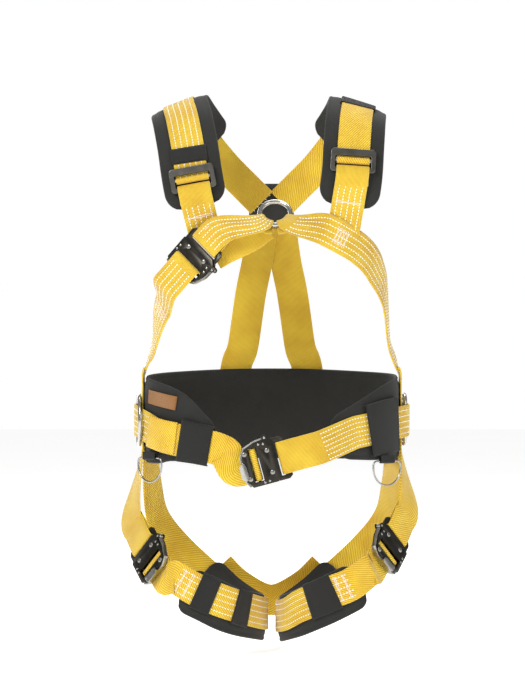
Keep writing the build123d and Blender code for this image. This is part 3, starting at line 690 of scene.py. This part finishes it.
def stitchTree():
    # short beads of thread, end to end along every line of the object
    sizes = {"Length": "NodeSocketFloat", "Pitch": "NodeSocketFloat", "Width": "NodeSocketFloat",
             "Height": "NodeSocketFloat", "Material": "NodeSocketMaterial"}
    tree, group, out = newTree("stitches", sizes)
    line = addNode(tree, "GeometryNodeMeshToCurve", links={0: group.outputs["Geometry"]})
    even = addNode(tree, "GeometryNodeResampleCurve", mode="LENGTH",
                   links={"Curve": line.outputs[0], "Length": group.outputs["Pitch"]})
    bead = addNode(tree, "GeometryNodeMeshUVSphere", {"Segments": 6, "Rings": 4, "Radius": 0.5})
    size = addNode(tree, "ShaderNodeCombineXYZ", links={0: group.outputs["Length"],
                                                       1: group.outputs["Width"],
                                                       2: group.outputs["Height"]})
    shaped = addNode(tree, "GeometryNodeTransform",
                     links={"Geometry": bead.outputs["Mesh"], "Scale": size.outputs[0]})
    along = addNode(tree, "GeometryNodeInputTangent")
    outward = addNode(tree, "GeometryNodeInputNamedAttribute", {"Name": "out"},
                      data_type="FLOAT_VECTOR")
    facing = addNode(tree, "FunctionNodeAlignRotationToVector",
                     links={"Vector": outward.outputs["Attribute"]}, axis="Z")
    lying = addNode(tree, "FunctionNodeAlignRotationToVector",
                    links={"Rotation": facing.outputs[0], "Vector": along.outputs[0]},
                    axis="X", pivot_axis="Z")
    placed = addNode(tree, "GeometryNodeInstanceOnPoints",
                     links={"Points": even.outputs[0], "Instance": shaped.outputs[0],
                            "Rotation": lying.outputs[0]})
    endTree(tree, placed.outputs[0], group, out)
    return tree


def studTree():
    # a low dome at every point, turned to face its outward direction
    sizes = {"Radius": "NodeSocketFloat", "Height": "NodeSocketFloat", "Material": "NodeSocketMaterial"}
    tree, group, out = newTree("studs", sizes)
    points = addNode(tree, "GeometryNodeMeshToPoints", links={0: group.outputs["Geometry"]})
    dome = addNode(tree, "GeometryNodeMeshUVSphere", {"Segments": 24, "Rings": 12, "Radius": 1.0})
    size = addNode(tree, "ShaderNodeCombineXYZ", links={0: group.outputs["Radius"],
                                                       1: group.outputs["Radius"],
                                                       2: group.outputs["Height"]})
    shaped = addNode(tree, "GeometryNodeTransform",
                     links={"Geometry": dome.outputs["Mesh"], "Scale": size.outputs[0]})
    outward = addNode(tree, "GeometryNodeInputNamedAttribute", {"Name": "out"},
                      data_type="FLOAT_VECTOR")
    facing = addNode(tree, "FunctionNodeAlignRotationToVector",
                     links={"Vector": outward.outputs["Attribute"]}, axis="Z")
    placed = addNode(tree, "GeometryNodeInstanceOnPoints",
                     links={"Points": points.outputs[0], "Instance": shaped.outputs[0],
                            "Rotation": facing.outputs[0]})
    endTree(tree, placed.outputs[0], group, out)
    return tree


def grown(name, tree, lines, values, body, nodes=()):
    # lines is a list of point lists, each point with its outward direction
    verts, edges, outs = [], [], []
    for line in lines:
        for index, (point, out) in enumerate(line):
            if index:
                edges.append((len(verts) - 1, len(verts)))
            verts.append(toMetres(point))
            outs.append(out)
    mesh = bpy.data.meshes.new(name)
    mesh.from_pydata(verts, edges, [])
    attribute = mesh.attributes.new("out", "FLOAT_VECTOR", "POINT")
    for item, out in zip(attribute.data, outs):
        item.vector = out
    obj = linkedObject(name, mesh)
    modifier = obj.modifiers.new("grow", "NODES")
    modifier.node_group = tree
    for item in tree.interface.items_tree:
        if item.in_out == "INPUT" and item.name in values:
            modifier[item.identifier] = values[item.name]
    settle(obj)
    for polygon in obj.data.polygons:
        polygon.use_smooth = True
    finishPiece(obj, body, nodes, None)
    return obj


stitches = stitchTree()
studs = studTree()
stitchLines = {"white": [], "pink": []}


def onStrap(points, across, u, start, end, lift):
    # a line on the face of a strap, u across it and from start to end along it
    even, sides, _, lengths = evenly(points, across, extras(points, 0.0), 2.0)
    line = []
    last = lengths[-1] if end is None else end if end > 0 else lengths[-1] + end
    for (point, side, out, t), length in zip(frames(even, sides), lengths):
        if start <= length <= last:
            line.append((point + side * u + out * lift, out))
    return line


def lined(points, across, start=0, end=None, edges=(-15.5, -7.8, 0, 7.8, 15.5)):
    for u in edges:
        line = onStrap(points, across, u, start, end, web["thick"] / 2 + 0.05)
        if len(line) > 1:
            stitchLines["white"].append(line)


tackLook = {"step": 0.9, "length": 3.0}


def tack(points, across, at, wide):
    # a bar tack: close zigzag stitches across the strap, this far along it
    zigzag = []
    steps = int(wide / tackLook["step"])
    even, sides, _, lengths = evenly(points, across, extras(points, 0.0), 0.6)
    found = frames(even, sides)
    for step in range(steps + 1):
        u = -wide / 2 + wide * step / steps
        shift = tackLook["length"] / 2
        along = at + (shift if step % 2 else -shift)
        nearest = min(range(len(lengths)), key=lambda i: abs(lengths[i] - along))
        point, side, out, t = found[nearest]
        zigzag.append((point + side * u + out * (web["thick"] / 2 + 0.1), out))
    stitchLines["pink"].append(zigzag)


# shoulders

shoulderRoutes = {
    "right": (
        (-88, -87.5, -48, 0.98, 0.2), (-99, -92, -4, 0.98, 0.2), (-107, -93, 36, 0.98, 0.2),
        (-113, -82, 76, 0.98, 0.2), (-120, -60, 112, 0.97, 0.25), (-125, -28, 132, 0.94, 0.34),
        (-124, 8, 137, 0.93, 0.36), (-114, 44, 124, 0.93, 0.36), (-94, 74, 98, 0.92, 0.4),
        (-66, 92, 66, 0.86, 0.5), (-38, 99, 38, 0.8, 0.6), (-14, 101, 14, 0.75, 0.66),
    ),
    "left": (
        (94, -88, -48, 0.99, -0.1), (101, -90.5, -4, 0.99, -0.1), (107, -93, 36, 0.99, -0.08),
        (110, -82, 76, 0.99, -0.08), (113, -60, 112, 0.98, -0.16), (116, -28, 132, 0.96, -0.27),
        (117, 8, 137, 0.94, -0.33), (110, 44, 124, 0.93, -0.36), (92, 74, 98, 0.92, -0.4),
        (66, 92, 66, 0.86, -0.5), (38, 99, 38, 0.8, -0.6), (14, 101, 14, 0.75, -0.66),
    ),
}
adjuster = {"width": 61.0, "height": 33.0, "thick": 3.0, "windowWidth": 48.0, "windowHeight": 21.0,
            "barRadius": 2.4, "heights": {"right": 34, "left": 58}}
adjusterLift = onPad + adjuster["thick"] / 2 + web["thick"] / 2 + web["gap"] + 0.6


def shoulderRun(side, lifts, steps=4):
    # points over a shoulder; lifts gives the lift at shares 0 to 11 of the route
    rows = flow(shoulderRoutes[side], steps)
    places = [share * steps for share, lift in lifts]
    first, last = int(round(places[0])), int(round(places[-1]))
    points = [row[:3] for row in rows]
    across = [unit((row[3], 0, row[4])) for row in rows]
    lifted = []
    for index, (point, way, t) in enumerate(zip(points, across, tangents(points))):
        lift = np.interp(index, places, [value for share, value in lifts])
        lifted.append(point + unit(np.cross(way, t)) * lift)
    return lifted[first:last + 1], across[first:last + 1]


def adjusterPlane(side):
    points, across = shoulderRun(side, ((0, adjusterLift), (11, adjusterLift)), 24)
    near = min(range(len(points)), key=lambda i: abs(points[i][2] - adjuster["heights"][side])
               + (1000 if points[i][1] > 0 else 0))
    up = tangents(points)[near]
    return makePlane(points[near], np.cross(across[near], up), up)


backLayer = {"right": onSkin, "left": onSkin + layer}
frameBarU = -(adjuster["height"] + adjuster["windowHeight"]) / 4
barFold = adjuster["thick"] / 2 + web["gap"] + web["thick"] / 2 + 0.3
slideFold = adjuster["barRadius"] + web["gap"] + web["thick"] / 2


def roundedBox(name, plane, size, window, bow):
    # a flat slide with a window, a rounded edge and a raised middle on its bars
    halfU, halfV, halfN = (value / 2 for value in size)
    outer, inner = [], []
    corner = 5.0
    for cu, cv, start in ((1, 1, 0), (-1, 1, 90), (-1, -1, 180), (1, -1, 270)):
        for step in range(7):
            a = math.radians(start + 15 * step)
            outer.append((cu * (halfU - corner) + corner * math.cos(a),
                          cv * (halfV - corner) + corner * math.sin(a)))
            inner.append((cu * (window[0] / 2 - 2) + 2 * math.cos(a),
                          cv * (window[1] / 2 - 2) + 2 * math.sin(a)))
    count = len(outer)
    rings = ((outer, 0, -1), (outer, 0, 1), (inner, -2, 1), (inner, -2, -1))
    verts = []
    for outline, shift, level in rings:
        verts += fromPlane(plane, [(u + shift, v, level * halfN
                                    + bow * max(0, 1 - (v / 20) ** 2) * (u > 0) * (level > 0))
                                   for u, v in outline])
    faces = []
    for ring in range(4):
        low, high = ring * count, (ring + 1) % 4 * count
        for j in range(count):
            k = (j + 1) % count
            faces.append((low + j, low + k, high + k, high + j))
    obj = makeMesh(name, verts, faces)
    tidyMesh(obj, 0.000001)
    bevel = obj.modifiers.new("edges", "BEVEL")
    bevel.width = 0.0011
    bevel.segments = 4
    bevel.limit_method = "ANGLE"
    bevel.angle_limit = math.radians(50)
    bevel.harden_normals = True
    settle(obj)
    return obj


shoulderPadLook = {"width": 82, "corner": 24}
for side in ("right", "left"):
    plane = adjusterPlane(side)
    fold = fromPlane(plane, turn((0, 0), slideFold, 60, 270, 10))
    startShare = {"right": 2.25, "left": 2.75}[side]
    lifts = ((startShare, onPad), (8.75, onPad), (10, backLayer[side]), (11, backLayer[side]))
    points, across = shoulderRun(side, lifts)
    facing = plane["v"]
    sides = [-facing] * len(fold) + across
    look = yellowLined if side == "right" else yellowTwill
    strapPiece("shoulderStrap_" + side, fold + points, sides,
               ["shoulder_strap_" + side], look, spacing=1.6)
    if side == "right":
        lined(fold + points, sides, 6)

    fold = [(frameBarU - 8, 0, barFold)]
    fold += turn((frameBarU + 1.8, 0), barFold, 90, -90, 8) + [(frameBarU - 20, 0, -barFold)]
    lowShare = {"right": 1.0, "left": 1.5}[side]
    low = ((0.25, onSkin), (0.5, onSkin + 1.5), (0.9, onPad + 1), (lowShare, onPad + 3))
    points, across = shoulderRun(side, low)
    fold = fromPlane(plane, fold)
    sides = across + [-facing] * len(fold)
    strapPiece("frontStrap_" + side, points + fold, sides,
               ["front_strap_" + side], yellowLined, spacing=1.6)
    lined(points + fold[-1:], across + [-facing])
    tack(points + fold[-1:], across + [-facing], 26 if side == "right" else 44, 34)

    points, across = shoulderRun(side, ((1, padMiddle), (8.25, padMiddle)))
    obj = padMesh("shoulderPad_" + side, points, across, shoulderPadLook["width"], padThick,
                  shoulderPadLook["corner"])
    finishPiece(obj, "harness", ["shoulder_pad_" + side], blackPad)
    size = (adjuster["height"], adjuster["width"], adjuster["thick"])
    window = (adjuster["windowHeight"] - 4, adjuster["windowWidth"])
    obj = roundedBox("adjusterFrame_" + side, plane, size, window, 1.6)
    finishPiece(obj, "harness", ["adjuster_frame_" + side], slideSteel)

keeperShares = {"right": (2.4, 2.9), "left": (4.75, 5.4)}
keeperLift = onPad + web["thick"] / 2 + 0.4
for side, (low, high) in keeperShares.items():
    points, across = shoulderRun(side, ((low, keeperLift), (high, keeperLift)), 24)
    obj = cuffMesh("shoulderKeeper_" + side, points, across, 49, 3.2)
    finishPiece(obj, "harness", ["shoulder_keeper_" + side], blackElastic)
print("shoulders made")

# dorsal ring and back

plateFace = 101 + onSkin + 3 * layer + web["thick"] / 2 + web["gap"]
ringY = plateFace + 3.0 + 5.6 + 0.3
softened("dorsal_plate", "dorsalPlate", "harness", platePlastic, 0.7)
dorsalPlane = {"origin": np.array((0, ringY, 0.0)), "u": np.array((1.0, 0, 0)),
               "v": np.array((0, 0, 1.0)), "n": np.array((0, -1.0, 0))}
obj = wireMesh("dorsalRing", dorsalPlane, dPath(16, 8, 12), 3.0)
finishPiece(obj, "dorsal_ring", ["dorsal_d_ring"], ringSteel)

backStops = [
    [(93, -20, onSkin), (95, -70, onSkin), (98, -120, onSkin), (101, -190, onSkin + 1),
     (103, -212, onPad + 0.6), (104, -235, onPad + 0.3), (105, -275, onPad)],
    [(87, -20, onSkin + layer), (85, -70, onSkin + layer), (82, -120, onSkin + layer),
     (79, -190, onSkin + 1), (77, -212, onPad + 0.6), (76, -235, onPad + 0.3), (75, -275, onPad)],
]
for index, stops in enumerate(backStops):
    points, across = surfaceRun(onTrunk, stops)
    strapPiece("backStrap_" + "ab"[index], points, across,
               ["back_straps"] if index == 0 else [], yellowLined, spacing=2.4)
    lined(points, across)

# buckles

tongueThick = 2.4
channel = tongueThick / 2 + 0.4
frameBack = -(channel + 3.9)
coverFront = channel + 3.0
rivetHead = coverFront + 1.2
buckleHalfWidth = 29.0
pivot = (20.0, buckleHalfWidth + 0.6 + 2.6)
behindBuckle = frameBack - web["gap"] - web["thick"] / 2 - 0.2
loopLayer = tongueThick / 2 + web["gap"] + web["thick"] / 2
rootEnd = 45 + web["thick"] + 18 + 1
slotHalfU = 6.25
barSlotHigh = 35.5
rivetPlaces = ((19.5, 15.0), (19.5, -15.0), (-11.2, 17.0), (-11.2, -17.0))
dotPlaces = ((10, 25.5), (16.5, 24.5), (13, -25.2), (6.5, -25.8))
domes, dots = [], []


def buckle(name, plane, hand):
    for node, look in (("frame", blackSteel), ("cover", blackSteel)):
        softened(f"{name}_buckle_{node}", f"{name}Buckle_{node}", "harness", look, 0.5)
    softened(f"{name}_buckle_lever", f"{name}Buckle_lever", f"{name}_lever", leverSteel, 0.45)
    softened(f"{name}_buckle_tongue", f"{name}Buckle_tongue", f"{name}_tongue", blackSteel, 0.4)
    for u, v in rivetPlaces:
        domes.append([(fromPlane(plane, [(u, v * hand, coverFront)])[0], plane["n"])])
        domes.append([(fromPlane(plane, [(u, v * hand, frameBack)])[0], -plane["n"])])
    for u, v in dotPlaces:
        dots.append([(fromPlane(plane, [(u, v * hand, coverFront)])[0], plane["n"])])
    for level, way in ((coverFront, 1), (frameBack, -1)):
        dots.append([(fromPlane(plane, [(pivot[0], pivot[1] * hand, level)])[0], plane["n"] * way)])


def frameFold():
    low = behindBuckle
    rows = [(-28, 0, low)] + turn((-6.7, low + 3.1), 3.1, -90, 0, 5)
    rows += turn((0, -channel - 0.4), 3.6, 180, 0, 10)
    rows += turn((-0.8, low + 1.6), 4.4, 0, -90, 5)
    return rows + [(-28, 0, low - layer)]


def doubled(plane, back):
    # a strap's folded end: from its cut end behind, round the tongue's bar and out again
    rows = [(back, 0, -1.5), (52, 0, -loopLayer)]
    rows += turn((barSlotHigh + 0.4, 0), loopLayer, 270, 90, 12)
    rows += [(46, 0, loopLayer), (54, 0, 2.2)]
    return fromPlane(plane, rows)


def tongueStrap(name, plane, rest, restAcross, back, nodes, look):
    # a strap that starts round a tongue's bar
    start = doubled(plane, back)
    points = start + rest
    across = [-plane["v"]] * len(start) + restAcross
    obj = strapMesh(name, points, across, spacing=1.5)
    finishPiece(obj, None, nodes, look)
    far, near = fromPlane(plane, [(92, 0, 0), (50, 0, 0)])
    toMetres(far)
    toMetres(near)
    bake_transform(obj)
    return obj


# chest

sternalCentre = np.array((4.0, -117.0, -13.5))
sternalRadius = 20.5
sternalTilt = math.radians(38)
sternalPlane = {"origin": sternalCentre, "u": np.array((1.0, 0, 0)),
                "v": np.array((0, math.sin(sternalTilt), math.cos(sternalTilt))),
                "n": np.array((0, -math.cos(sternalTilt), math.sin(sternalTilt)))}
circle = [(sternalRadius * math.cos(a), sternalRadius * math.sin(a))
          for a in np.linspace(0, 2 * math.pi, 72, endpoint=False)]
obj = wireMesh("sternalRing", sternalPlane, circle, 3.0)
finishPiece(obj, "sternal_ring", ["sternal_ring"], ringSteel)

chestPlane = makePlane(onTrunk(-128.7, -82, 16)[0], (-0.38, -0.92, 0.05), (0.632, -0.261, 0.73))
buckle("chest", chestPlane, -1)
gather = {"angle": 50, "spread": 33, "radius": 3 + 0.6 + web["thick"] / 2, "cols": 15, "tail": 13}


def ringRows(start, across, along, side, steps=16):
    # the strap's width gathers onto the ring's lower quarter, folds round its wire and returns
    shares = np.linspace(-1, 1, gather["cols"])
    out = sternalPlane["n"]
    rows = [[] for _ in range(steps + 1 + 12 + 3)]
    for a in shares:
        theta = gather["angle"] + gather["spread"] * a
        theta = math.radians(-theta if side > 0 else theta - 180)
        radial = math.cos(theta) * sternalPlane["u"] + math.sin(theta) * sternalPlane["v"]
        wire = sternalCentre + radial * sternalRadius
        first = start + across * a * web["width"] / 2
        last = wire + out * gather["radius"]
        reach = np.linalg.norm(last - first)
        for step in range(steps + 1):
            t = step / steps
            cubic = ((2 * t**3 - 3 * t**2 + 1) * first + (t**3 - 2 * t**2 + t) * along * reach
                     + (3 * t**2 - 2 * t**3) * last - (t**3 - t**2) * radial * reach)
            bulge = 1.6 * math.sin(math.pi * t) ** 2 * math.cos(a * 5) * out
            rows[step].append(cubic + bulge)
        for step in range(12):
            turned = math.radians(90 + 180 * (step + 1) / 12)
            rows[steps + 1 + step].append(
                wire + gather["radius"] * (math.cos(turned) * radial + math.sin(turned) * out))
        for step in range(3):
            back = wire + radial * gather["tail"] * (step + 1) / 3 - out * gather["radius"] * 0.9
            rows[steps + 13 + step].append(back)
    return rows


def flatRows(points, across, spacing=2.0):
    even, sides, _, lengths = evenly(points, across, extras(points, 0.0), spacing)
    shares = np.linspace(-1, 1, gather["cols"]) * web["width"] / 2
    return [[point + side * a for a in shares] for point, side, out, t in frames(even, sides)]


def linedGrid(grid, out, start, end, lift):
    for share in (-0.36, -0.18, 0, 0.18, 0.36):
        stitchLines["white"].append(gridLine(grid, out, share, start, end, lift))


start = doubled(chestPlane, 62)
rows = flatRows(start, [-chestPlane["v"]] * len(start), 1.4)
flatCount = len(rows)
rows += ringRows(start[-1], -chestPlane["v"], chestPlane["u"], -1)[1:]
obj, grid, out = clothGrid("sternalStrap_right", rows, web["thick"], web["width"])
finishPiece(obj, None, ["sternal_strap_right", "chest_tongue_loop"], yellowLined)
far, near = fromPlane(chestPlane, [(72, 0, 0), (48, 0, 0)])
toMetres(far)
toMetres(near)
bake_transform(obj)
linedGrid(grid, out, flatCount - 9, flatCount + 16, web["thick"] / 2)
stitchLines["pink"].append(
    gridLine(grid, out, -0.3, flatCount - 2, flatCount + 1, web["thick"] / 2))

points, across = surfaceRun(onTrunk, [
    (-90, -36, onSkin + 3), (-95, -43, onSkin + 0.8), (-102, -50, onSkin + 0.4),
    (-109, -58, onSkin + 0.4), (-116, -68, onSkin + 0.4)])
strapPiece("chestUnderLayer", points, across,
           [], yellowLined, width=widthsOf((20, 34, 42, 44, 44)), spacing=2)

fold = [(slotHalfU - 1.6, 0, behindBuckle), (slotHalfU - 1.6, 0, 5)]
fold += turn((slotHalfU - 4.4, 6.6), 2.8, 0, 90, 5)
fold += [(-6, 0, 9.4), (-19, 0, 9.4), (-32, 0, 9.6), (-43, 0, 8.6)]
fold = fromPlane(chestPlane, fold)
points, across = surfaceRun(onTrunk, [
    (-152, -136, 8), (-166, -165, 3), (-177, -195, onSkin + 2), (-180, -216, 7.5),
    (-180, -229, onPad + 0.4), (-180, -250, onPad), (-180, -282, onPad)])
sides = [chestPlane["v"]] * len(fold) + across
strapPiece("sideStrap_right", fold + points, sides, ["side_strap_right"], yellowLined, spacing=1.6)
lined(fold + points, sides, 26)
for at in (4, 10, 16):
    tack(points, across, at, 34)

points, across = surfaceRun(onTrunk, [
    (-66, -36, onSkin + 5), (-59, -45, onSkin + 6), (-50, -56, onSkin + 6.5), (-42, -67.5, onSkin + 6),
    (-34, -80, onSkin + 3), (-28, -91, onSkin + 1), (-19, -106, onSkin), (-12, -124, onSkin),
    (-8, -150, onSkin), (-6, -176, onSkin), (-3, -198, onSkin + 2), (0, -216, 7.5),
    (0, -229, onPad + 0.4), (0, -250, onPad), (0, -282, onPad)])
startOut = unit(points[0] - points[1])
rows = ringRows(points[0], across[0], startOut, 1)[:0:-1]
gatherCount = len(rows)
rows += flatRows(points, across)
obj, grid, out = clothGrid("sideStrap_left", rows, web["thick"], web["width"])
finishPiece(obj, "harness", ["side_strap_left"], yellowLined)
linedGrid(grid, out, gatherCount - 12, len(grid) - 2, web["thick"] / 2)
for at in (12, 17, 22, 27):
    tack(points, across, at, 22)
print("chest made")

# waist

waistPoint, waistOut = onTrunk(-94.8, -349, 12.5)
waistPlane = makePlane(waistPoint, waistOut, (0.966, 0, 0.259))
buckle("waist", waistPlane, 1)
beltMiddle = -292
barLift = onPad + web["thick"] / 2 + 6 * web["gap"] + 3
overBar = barLift + 3 + 0.5 + web["thick"] / 2
beltLift = onPad + layer
points, across = surfaceRun(onTrunk, [
    (246, -328, padMiddle), (238, -316, padMiddle), (222, -300, padMiddle), (203, -294, padMiddle),
    (180, -291, padMiddle), (135, -288, padMiddle), (90, -286, padMiddle), (45, -288, padMiddle),
    (0, -290, padMiddle), (-23, -293, padMiddle), (-44, -303, padMiddle), (-60, -312, padMiddle),
    (-67, -317, padMiddle)])
waistWidths = widthsOf((54, 68, 100, 113, 118, 124, 128, 124, 118, 107, 86, 64, 52))
obj = padMesh("waistPad", points, across, waistWidths, padThick, 22, cells=26)
finishPiece(obj, "harness", ["waist_pad"], blackPad)

points, across = surfaceRun(onTrunk, [
    (209, -309, onPad), (201, -302, 11), (193, -297, 14.5), (186, -293, overBar - 2),
    (180, beltMiddle, overBar), (174, -291, overBar - 2), (167, -290, 14.5),
    (155, -289, beltLift), (135, -287, beltLift), (110, -285, beltLift), (90, -285, beltLift),
    (70, -285, beltLift), (45, -287, beltLift), (25, -289, beltLift), (13, -290, 14.5),
    (6, -291, overBar - 2), (0, beltMiddle, overBar), (-6, -293, overBar - 2),
    (-13, -294, 14.5), (-20, -296, 10.5), (-25, -297, onPad)])
strapPiece("waistBelt", points, across, ["waist_belt_webbing"], yellowLined, spacing=2.0)
lined(points, across)

fold = fromPlane(waistPlane, frameFold())
points, across = surfaceRun(onTrunk, [
    (206, -307, onPad + layer + 0.8), (218, -313, onPad + layer), (233, -319, onPad + layer),
    (247, -326, onPad + layer), (253, -333, 9.8)])
facing = waistPlane["v"]
strapPiece("waistStrap_right", points + fold, across + [-facing] * len(fold),
           ["waist_strap_right"], yellowTwill, spacing=1.6)

root = fromPlane(waistPlane, [(rootEnd, 0, 1.2), (rootEnd + 20, 0, 0.6)])
points, across = surfaceRun(onTrunk, [
    (-53, -306, onPad), (-43, -302, onPad), (-36, -300, onPad), (-31, -299, onPad)])
tongueStrap("waistStrap_left", waistPlane, root + points,
            [-facing] * len(root) + across, 88, ["waist_tongue_loop", "waist_strap_left"], yellowLined)
restPoints = fromPlane(waistPlane, [(96, 0, 0.8)]) + points
restAcross = [-facing] + across
lined(restPoints, restAcross, 0, None, (-18, -12, -6, 0, 6, 12, 18))

points, across = surfaceRun(onTrunk, [
    (205, -305.5, onPad + 2 * layer + 0.6), (212, -309, onPad + 2 * layer + 0.3),
    (220, -312.5, onPad + 2 * layer + 0.3), (227, -315, onPad + 2 * layer)])
strapPiece("beltFoldedEnd", points, across, [], yellowTwill, spacing=2)

sleeveStops = {
    "right": ((229, -317, 58), (238, -321, 55), (246, -325, 54)),
    "left": ((-46, -305, 70), (-34, -300, 73), (-20, -297, 74)),
}
sleeveLift = onPad + layer + web["thick"] / 2 + web["gap"] + 0.6
for side, stops in sleeveStops.items():
    points, across = surfaceRun(onTrunk, [(a, h, sleeveLift) for a, h, w in stops])
    widths = widthsOf([w for a, h, w in stops])
    obj = cuffMesh("waistSleeve_" + side, points, across, widths, 5.5)
    finishPiece(obj, "harness", ["waist_sleeve_" + side], blackElastic)

labelLift = padTop + 1.9
points, across = surfaceRun(onTrunk, [
    (200, -259, labelLift), (213, -263, labelLift), (226, -268, labelLift)])
obj = strapMesh("padLabel", points, across, 19, 1.0, wander=0.1)
finishPiece(obj, "harness", ["pad_label"], orangeLabel)

for side, sign, swing in (("right", -1, 6.0), ("left", 1, 3.0)):
    bar = onTrunk(180 if sign < 0 else 0, beltMiddle, barLift)[0]
    a = math.radians(swing)
    toBar = np.array((sign * math.sin(a), -sign * math.cos(a), 0))
    plane = {"origin": bar - toBar * 12, "u": np.array((0, 0, 1.0)), "v": toBar,
             "n": np.cross((0, 0, 1), toBar)}
    obj = wireMesh("sideRing_" + side, plane, dPath(22, 12, 0), 3.0)
    finishPiece(obj, "side_ring_" + side, ["side_d_ring_" + side], ringSteel)

toolFold = 2.6 / 2 + 0.3 + 0.7
toolLift = padTop + 3 * web["gap"] + 0.7 + toolFold + 2
toolPlaces = {"right": (206, -342.0, 10), "left": (-33, -346.0, -10)}
for side, (angle, height, swing) in toolPlaces.items():
    bar, out = onTrunk(angle, height, toolLift)
    a = math.radians(swing)
    out = np.array((out[0] * math.cos(a) - out[1] * math.sin(a),
                    out[0] * math.sin(a) + out[1] * math.cos(a), 0))
    flat = np.cross((0, 0, 1), out)
    plane = {"origin": bar - np.array((0, 0, 10)), "u": flat, "v": np.array((0, 0, 1.0)), "n": out}
    obj = wireMesh("toolRing_" + side, plane, dPath(17, 6, 4), 1.3, 12)
    finishPiece(obj, "tool_ring_" + side, ["tool_ring_" + side], leverSteel)
    foldPlane = {"origin": bar, "u": np.array((0, 0, 1.0)), "v": flat, "n": out}
    rows = [(8, 0, toolFold)] + turn((0, 0), toolFold, 90, 270, 10) + [(8, 0, -toolFold)]
    points = fromPlane(foldPlane, rows)
    obj = strapMesh("toolLoop_" + side, points, [-flat] * len(points), 24, 1.4, spacing=1.0)
    nodes = ["tool_ring_loops"] if side == "right" else []
    finishPiece(obj, "harness", nodes, blackElastic)
print("waist made")

# legs

legPlanes = {
    "right": makePlane((-161, -72, -484), (-0.74, -0.64, 0.2), (-0.3, 0.72, 0.62)),
    "left": makePlane((155, -72, -470), (0.74, -0.64, 0.2), (0.3, 0.72, 0.62)),
}
hipStops = {"right": [(183, -330, onPad), (181, -300, onPad)],
            "left": [(-3, -330, onPad), (-1, -300, onPad)]}
onLegPad = onPad + 0.6
legStops = {
    "right": [(-70, -500), (-86, -515), (-109, -532), (-133, -545), (-158, -555), (-182, -560),
              (-210, -560), (-235, -550), (-262, -522), (-290, -480), (-312, -435)],
    "left": [(-68, -490), (-85, -509), (-98, -518), (-113, -529), (-131, -541), (-152, -556),
             (-182, -563), (-210, -562), (-235, -550), (-262, -522), (-290, -480), (-312, -435)],
}
legEnd = [(-322, -390, 6), (-328, -350, 2), (-328, -318, 0)]
padStops = {
    "right": [(-76, -515), (-95, -528), (-118, -545), (-145, -556), (-182, -565), (-215, -562),
              (-245, -545), (-270, -515)],
    "left": [(-76, -508), (-95, -523), (-118, -540), (-145, -556), (-182, -567), (-215, -563),
             (-245, -545), (-270, -515)],
}
keeperStops = {
    "right": [[(-88, -517), (-96, -523), (-103, -528)], [(-121, -539), (-128, -543), (-136, -547)]],
    "left": [[(-98, -518), (-110, -527), (-122, -535)]],
}


def legRoute(side, stops, lift):
    sign = -1 if side == "right" else 1

    def place(angle, height, lift):
        return onThigh(sign, angle, height, lift)

    return surfaceRun(place, [stop if len(stop) == 3 else (*stop, lift) for stop in stops], 6)


legLook = {"right": {"linedFrom": 4, "tacks": (10, 22)}, "left": {"linedFrom": 36, "tacks": (40, 52)}}
for side, plane in legPlanes.items():
    name = "leg_" + side
    buckle(name, plane, 1 if side == "left" else -1)
    facing = plane["v"]
    fold = fromPlane(plane, frameFold())[::-1]
    points, across = legRoute(side, legStops[side] + legEnd, onLegPad)
    sides = [facing] * len(fold) + across
    strapPiece("legStrap_" + side, fold + points, sides,
               ["leg_strap_" + side], yellowTwill, spacing=1.8)
    lined(points, across, legLook[side]["linedFrom"])
    for at in legLook[side]["tacks"]:
        tack(points, across, at, 34)
    root = fromPlane(plane, [(rootEnd, 0, 1.2), (rootEnd + 15, 0, 0.6)])
    points, across = surfaceRun(onTrunk, hipStops[side], 1)
    tongueStrap("hipStrap_" + side, plane, root + points,
                [-facing] * len(root) + across, 80, ["leg_tongue_loop_" + side, "hip_strap_" + side],
                yellowLined if side == "right" else yellowTwill)
    points, across = legRoute(side, padStops[side], padMiddle)
    obj = padMesh("legPad_" + side, points, across, 63, padThick, 16)
    finishPiece(obj, "harness", ["leg_pad_" + side], blackPad)
    for index, stops in enumerate(keeperStops[side]):
        lift = onLegPad + web["thick"] / 2 + web["gap"] + 0.6
        points, across = legRoute(side, stops, lift)
        obj = cuffMesh(f"legKeeper_{side}_{index}", points, across, 49, 4.5)
        nodes = ["leg_keepers_" + side] if index == 0 else []
        finishPiece(obj, "harness", nodes, blackElastic)

points, across = surfaceRun(
    lambda x, y, z: (np.array((x, y, z)), np.array((0, 1, 0))),
    [(-74, 108, -505), (-45, 107, -532), (0, 104, -552), (45, 107, -532), (74, 108, -505)])
strapPiece("subPelvicStrap", points, across, ["sub_pelvic_strap"], yellowTwill, spacing=2.4)
print("legs made")

# rivets, stitches and what is left

grown("buckleRivets", studs, domes, {"Radius": 0.0034, "Height": 0.0013, "Material": rivetSteel},
      "harness", ["buckle_rivets"])
grown("buckleDots", studs, dots, {"Radius": 0.0016, "Height": 0.0006, "Material": leverSteel},
      "harness")
for name, low, high in (("upper", -230, 400), ("lower", -900, -230)):
    chosen = [line for line in stitchLines["white"] if low < line[len(line) // 2][0][2] <= high]
    grown("whiteStitches_" + name, stitches, chosen,
          {"Length": 0.0034, "Pitch": 0.0042, "Width": 0.0015, "Height": 0.0010,
           "Material": whiteThread}, "harness")
grown("tackStitches", stitches, stitchLines["pink"],
      {"Length": 0.0031, "Pitch": 0.0030, "Width": 0.0011, "Height": 0.0008,
       "Material": pinkThread}, "harness")
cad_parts["adjuster_bars"].data.materials.clear()
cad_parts["adjuster_bars"].data.materials.append(leverSteel)
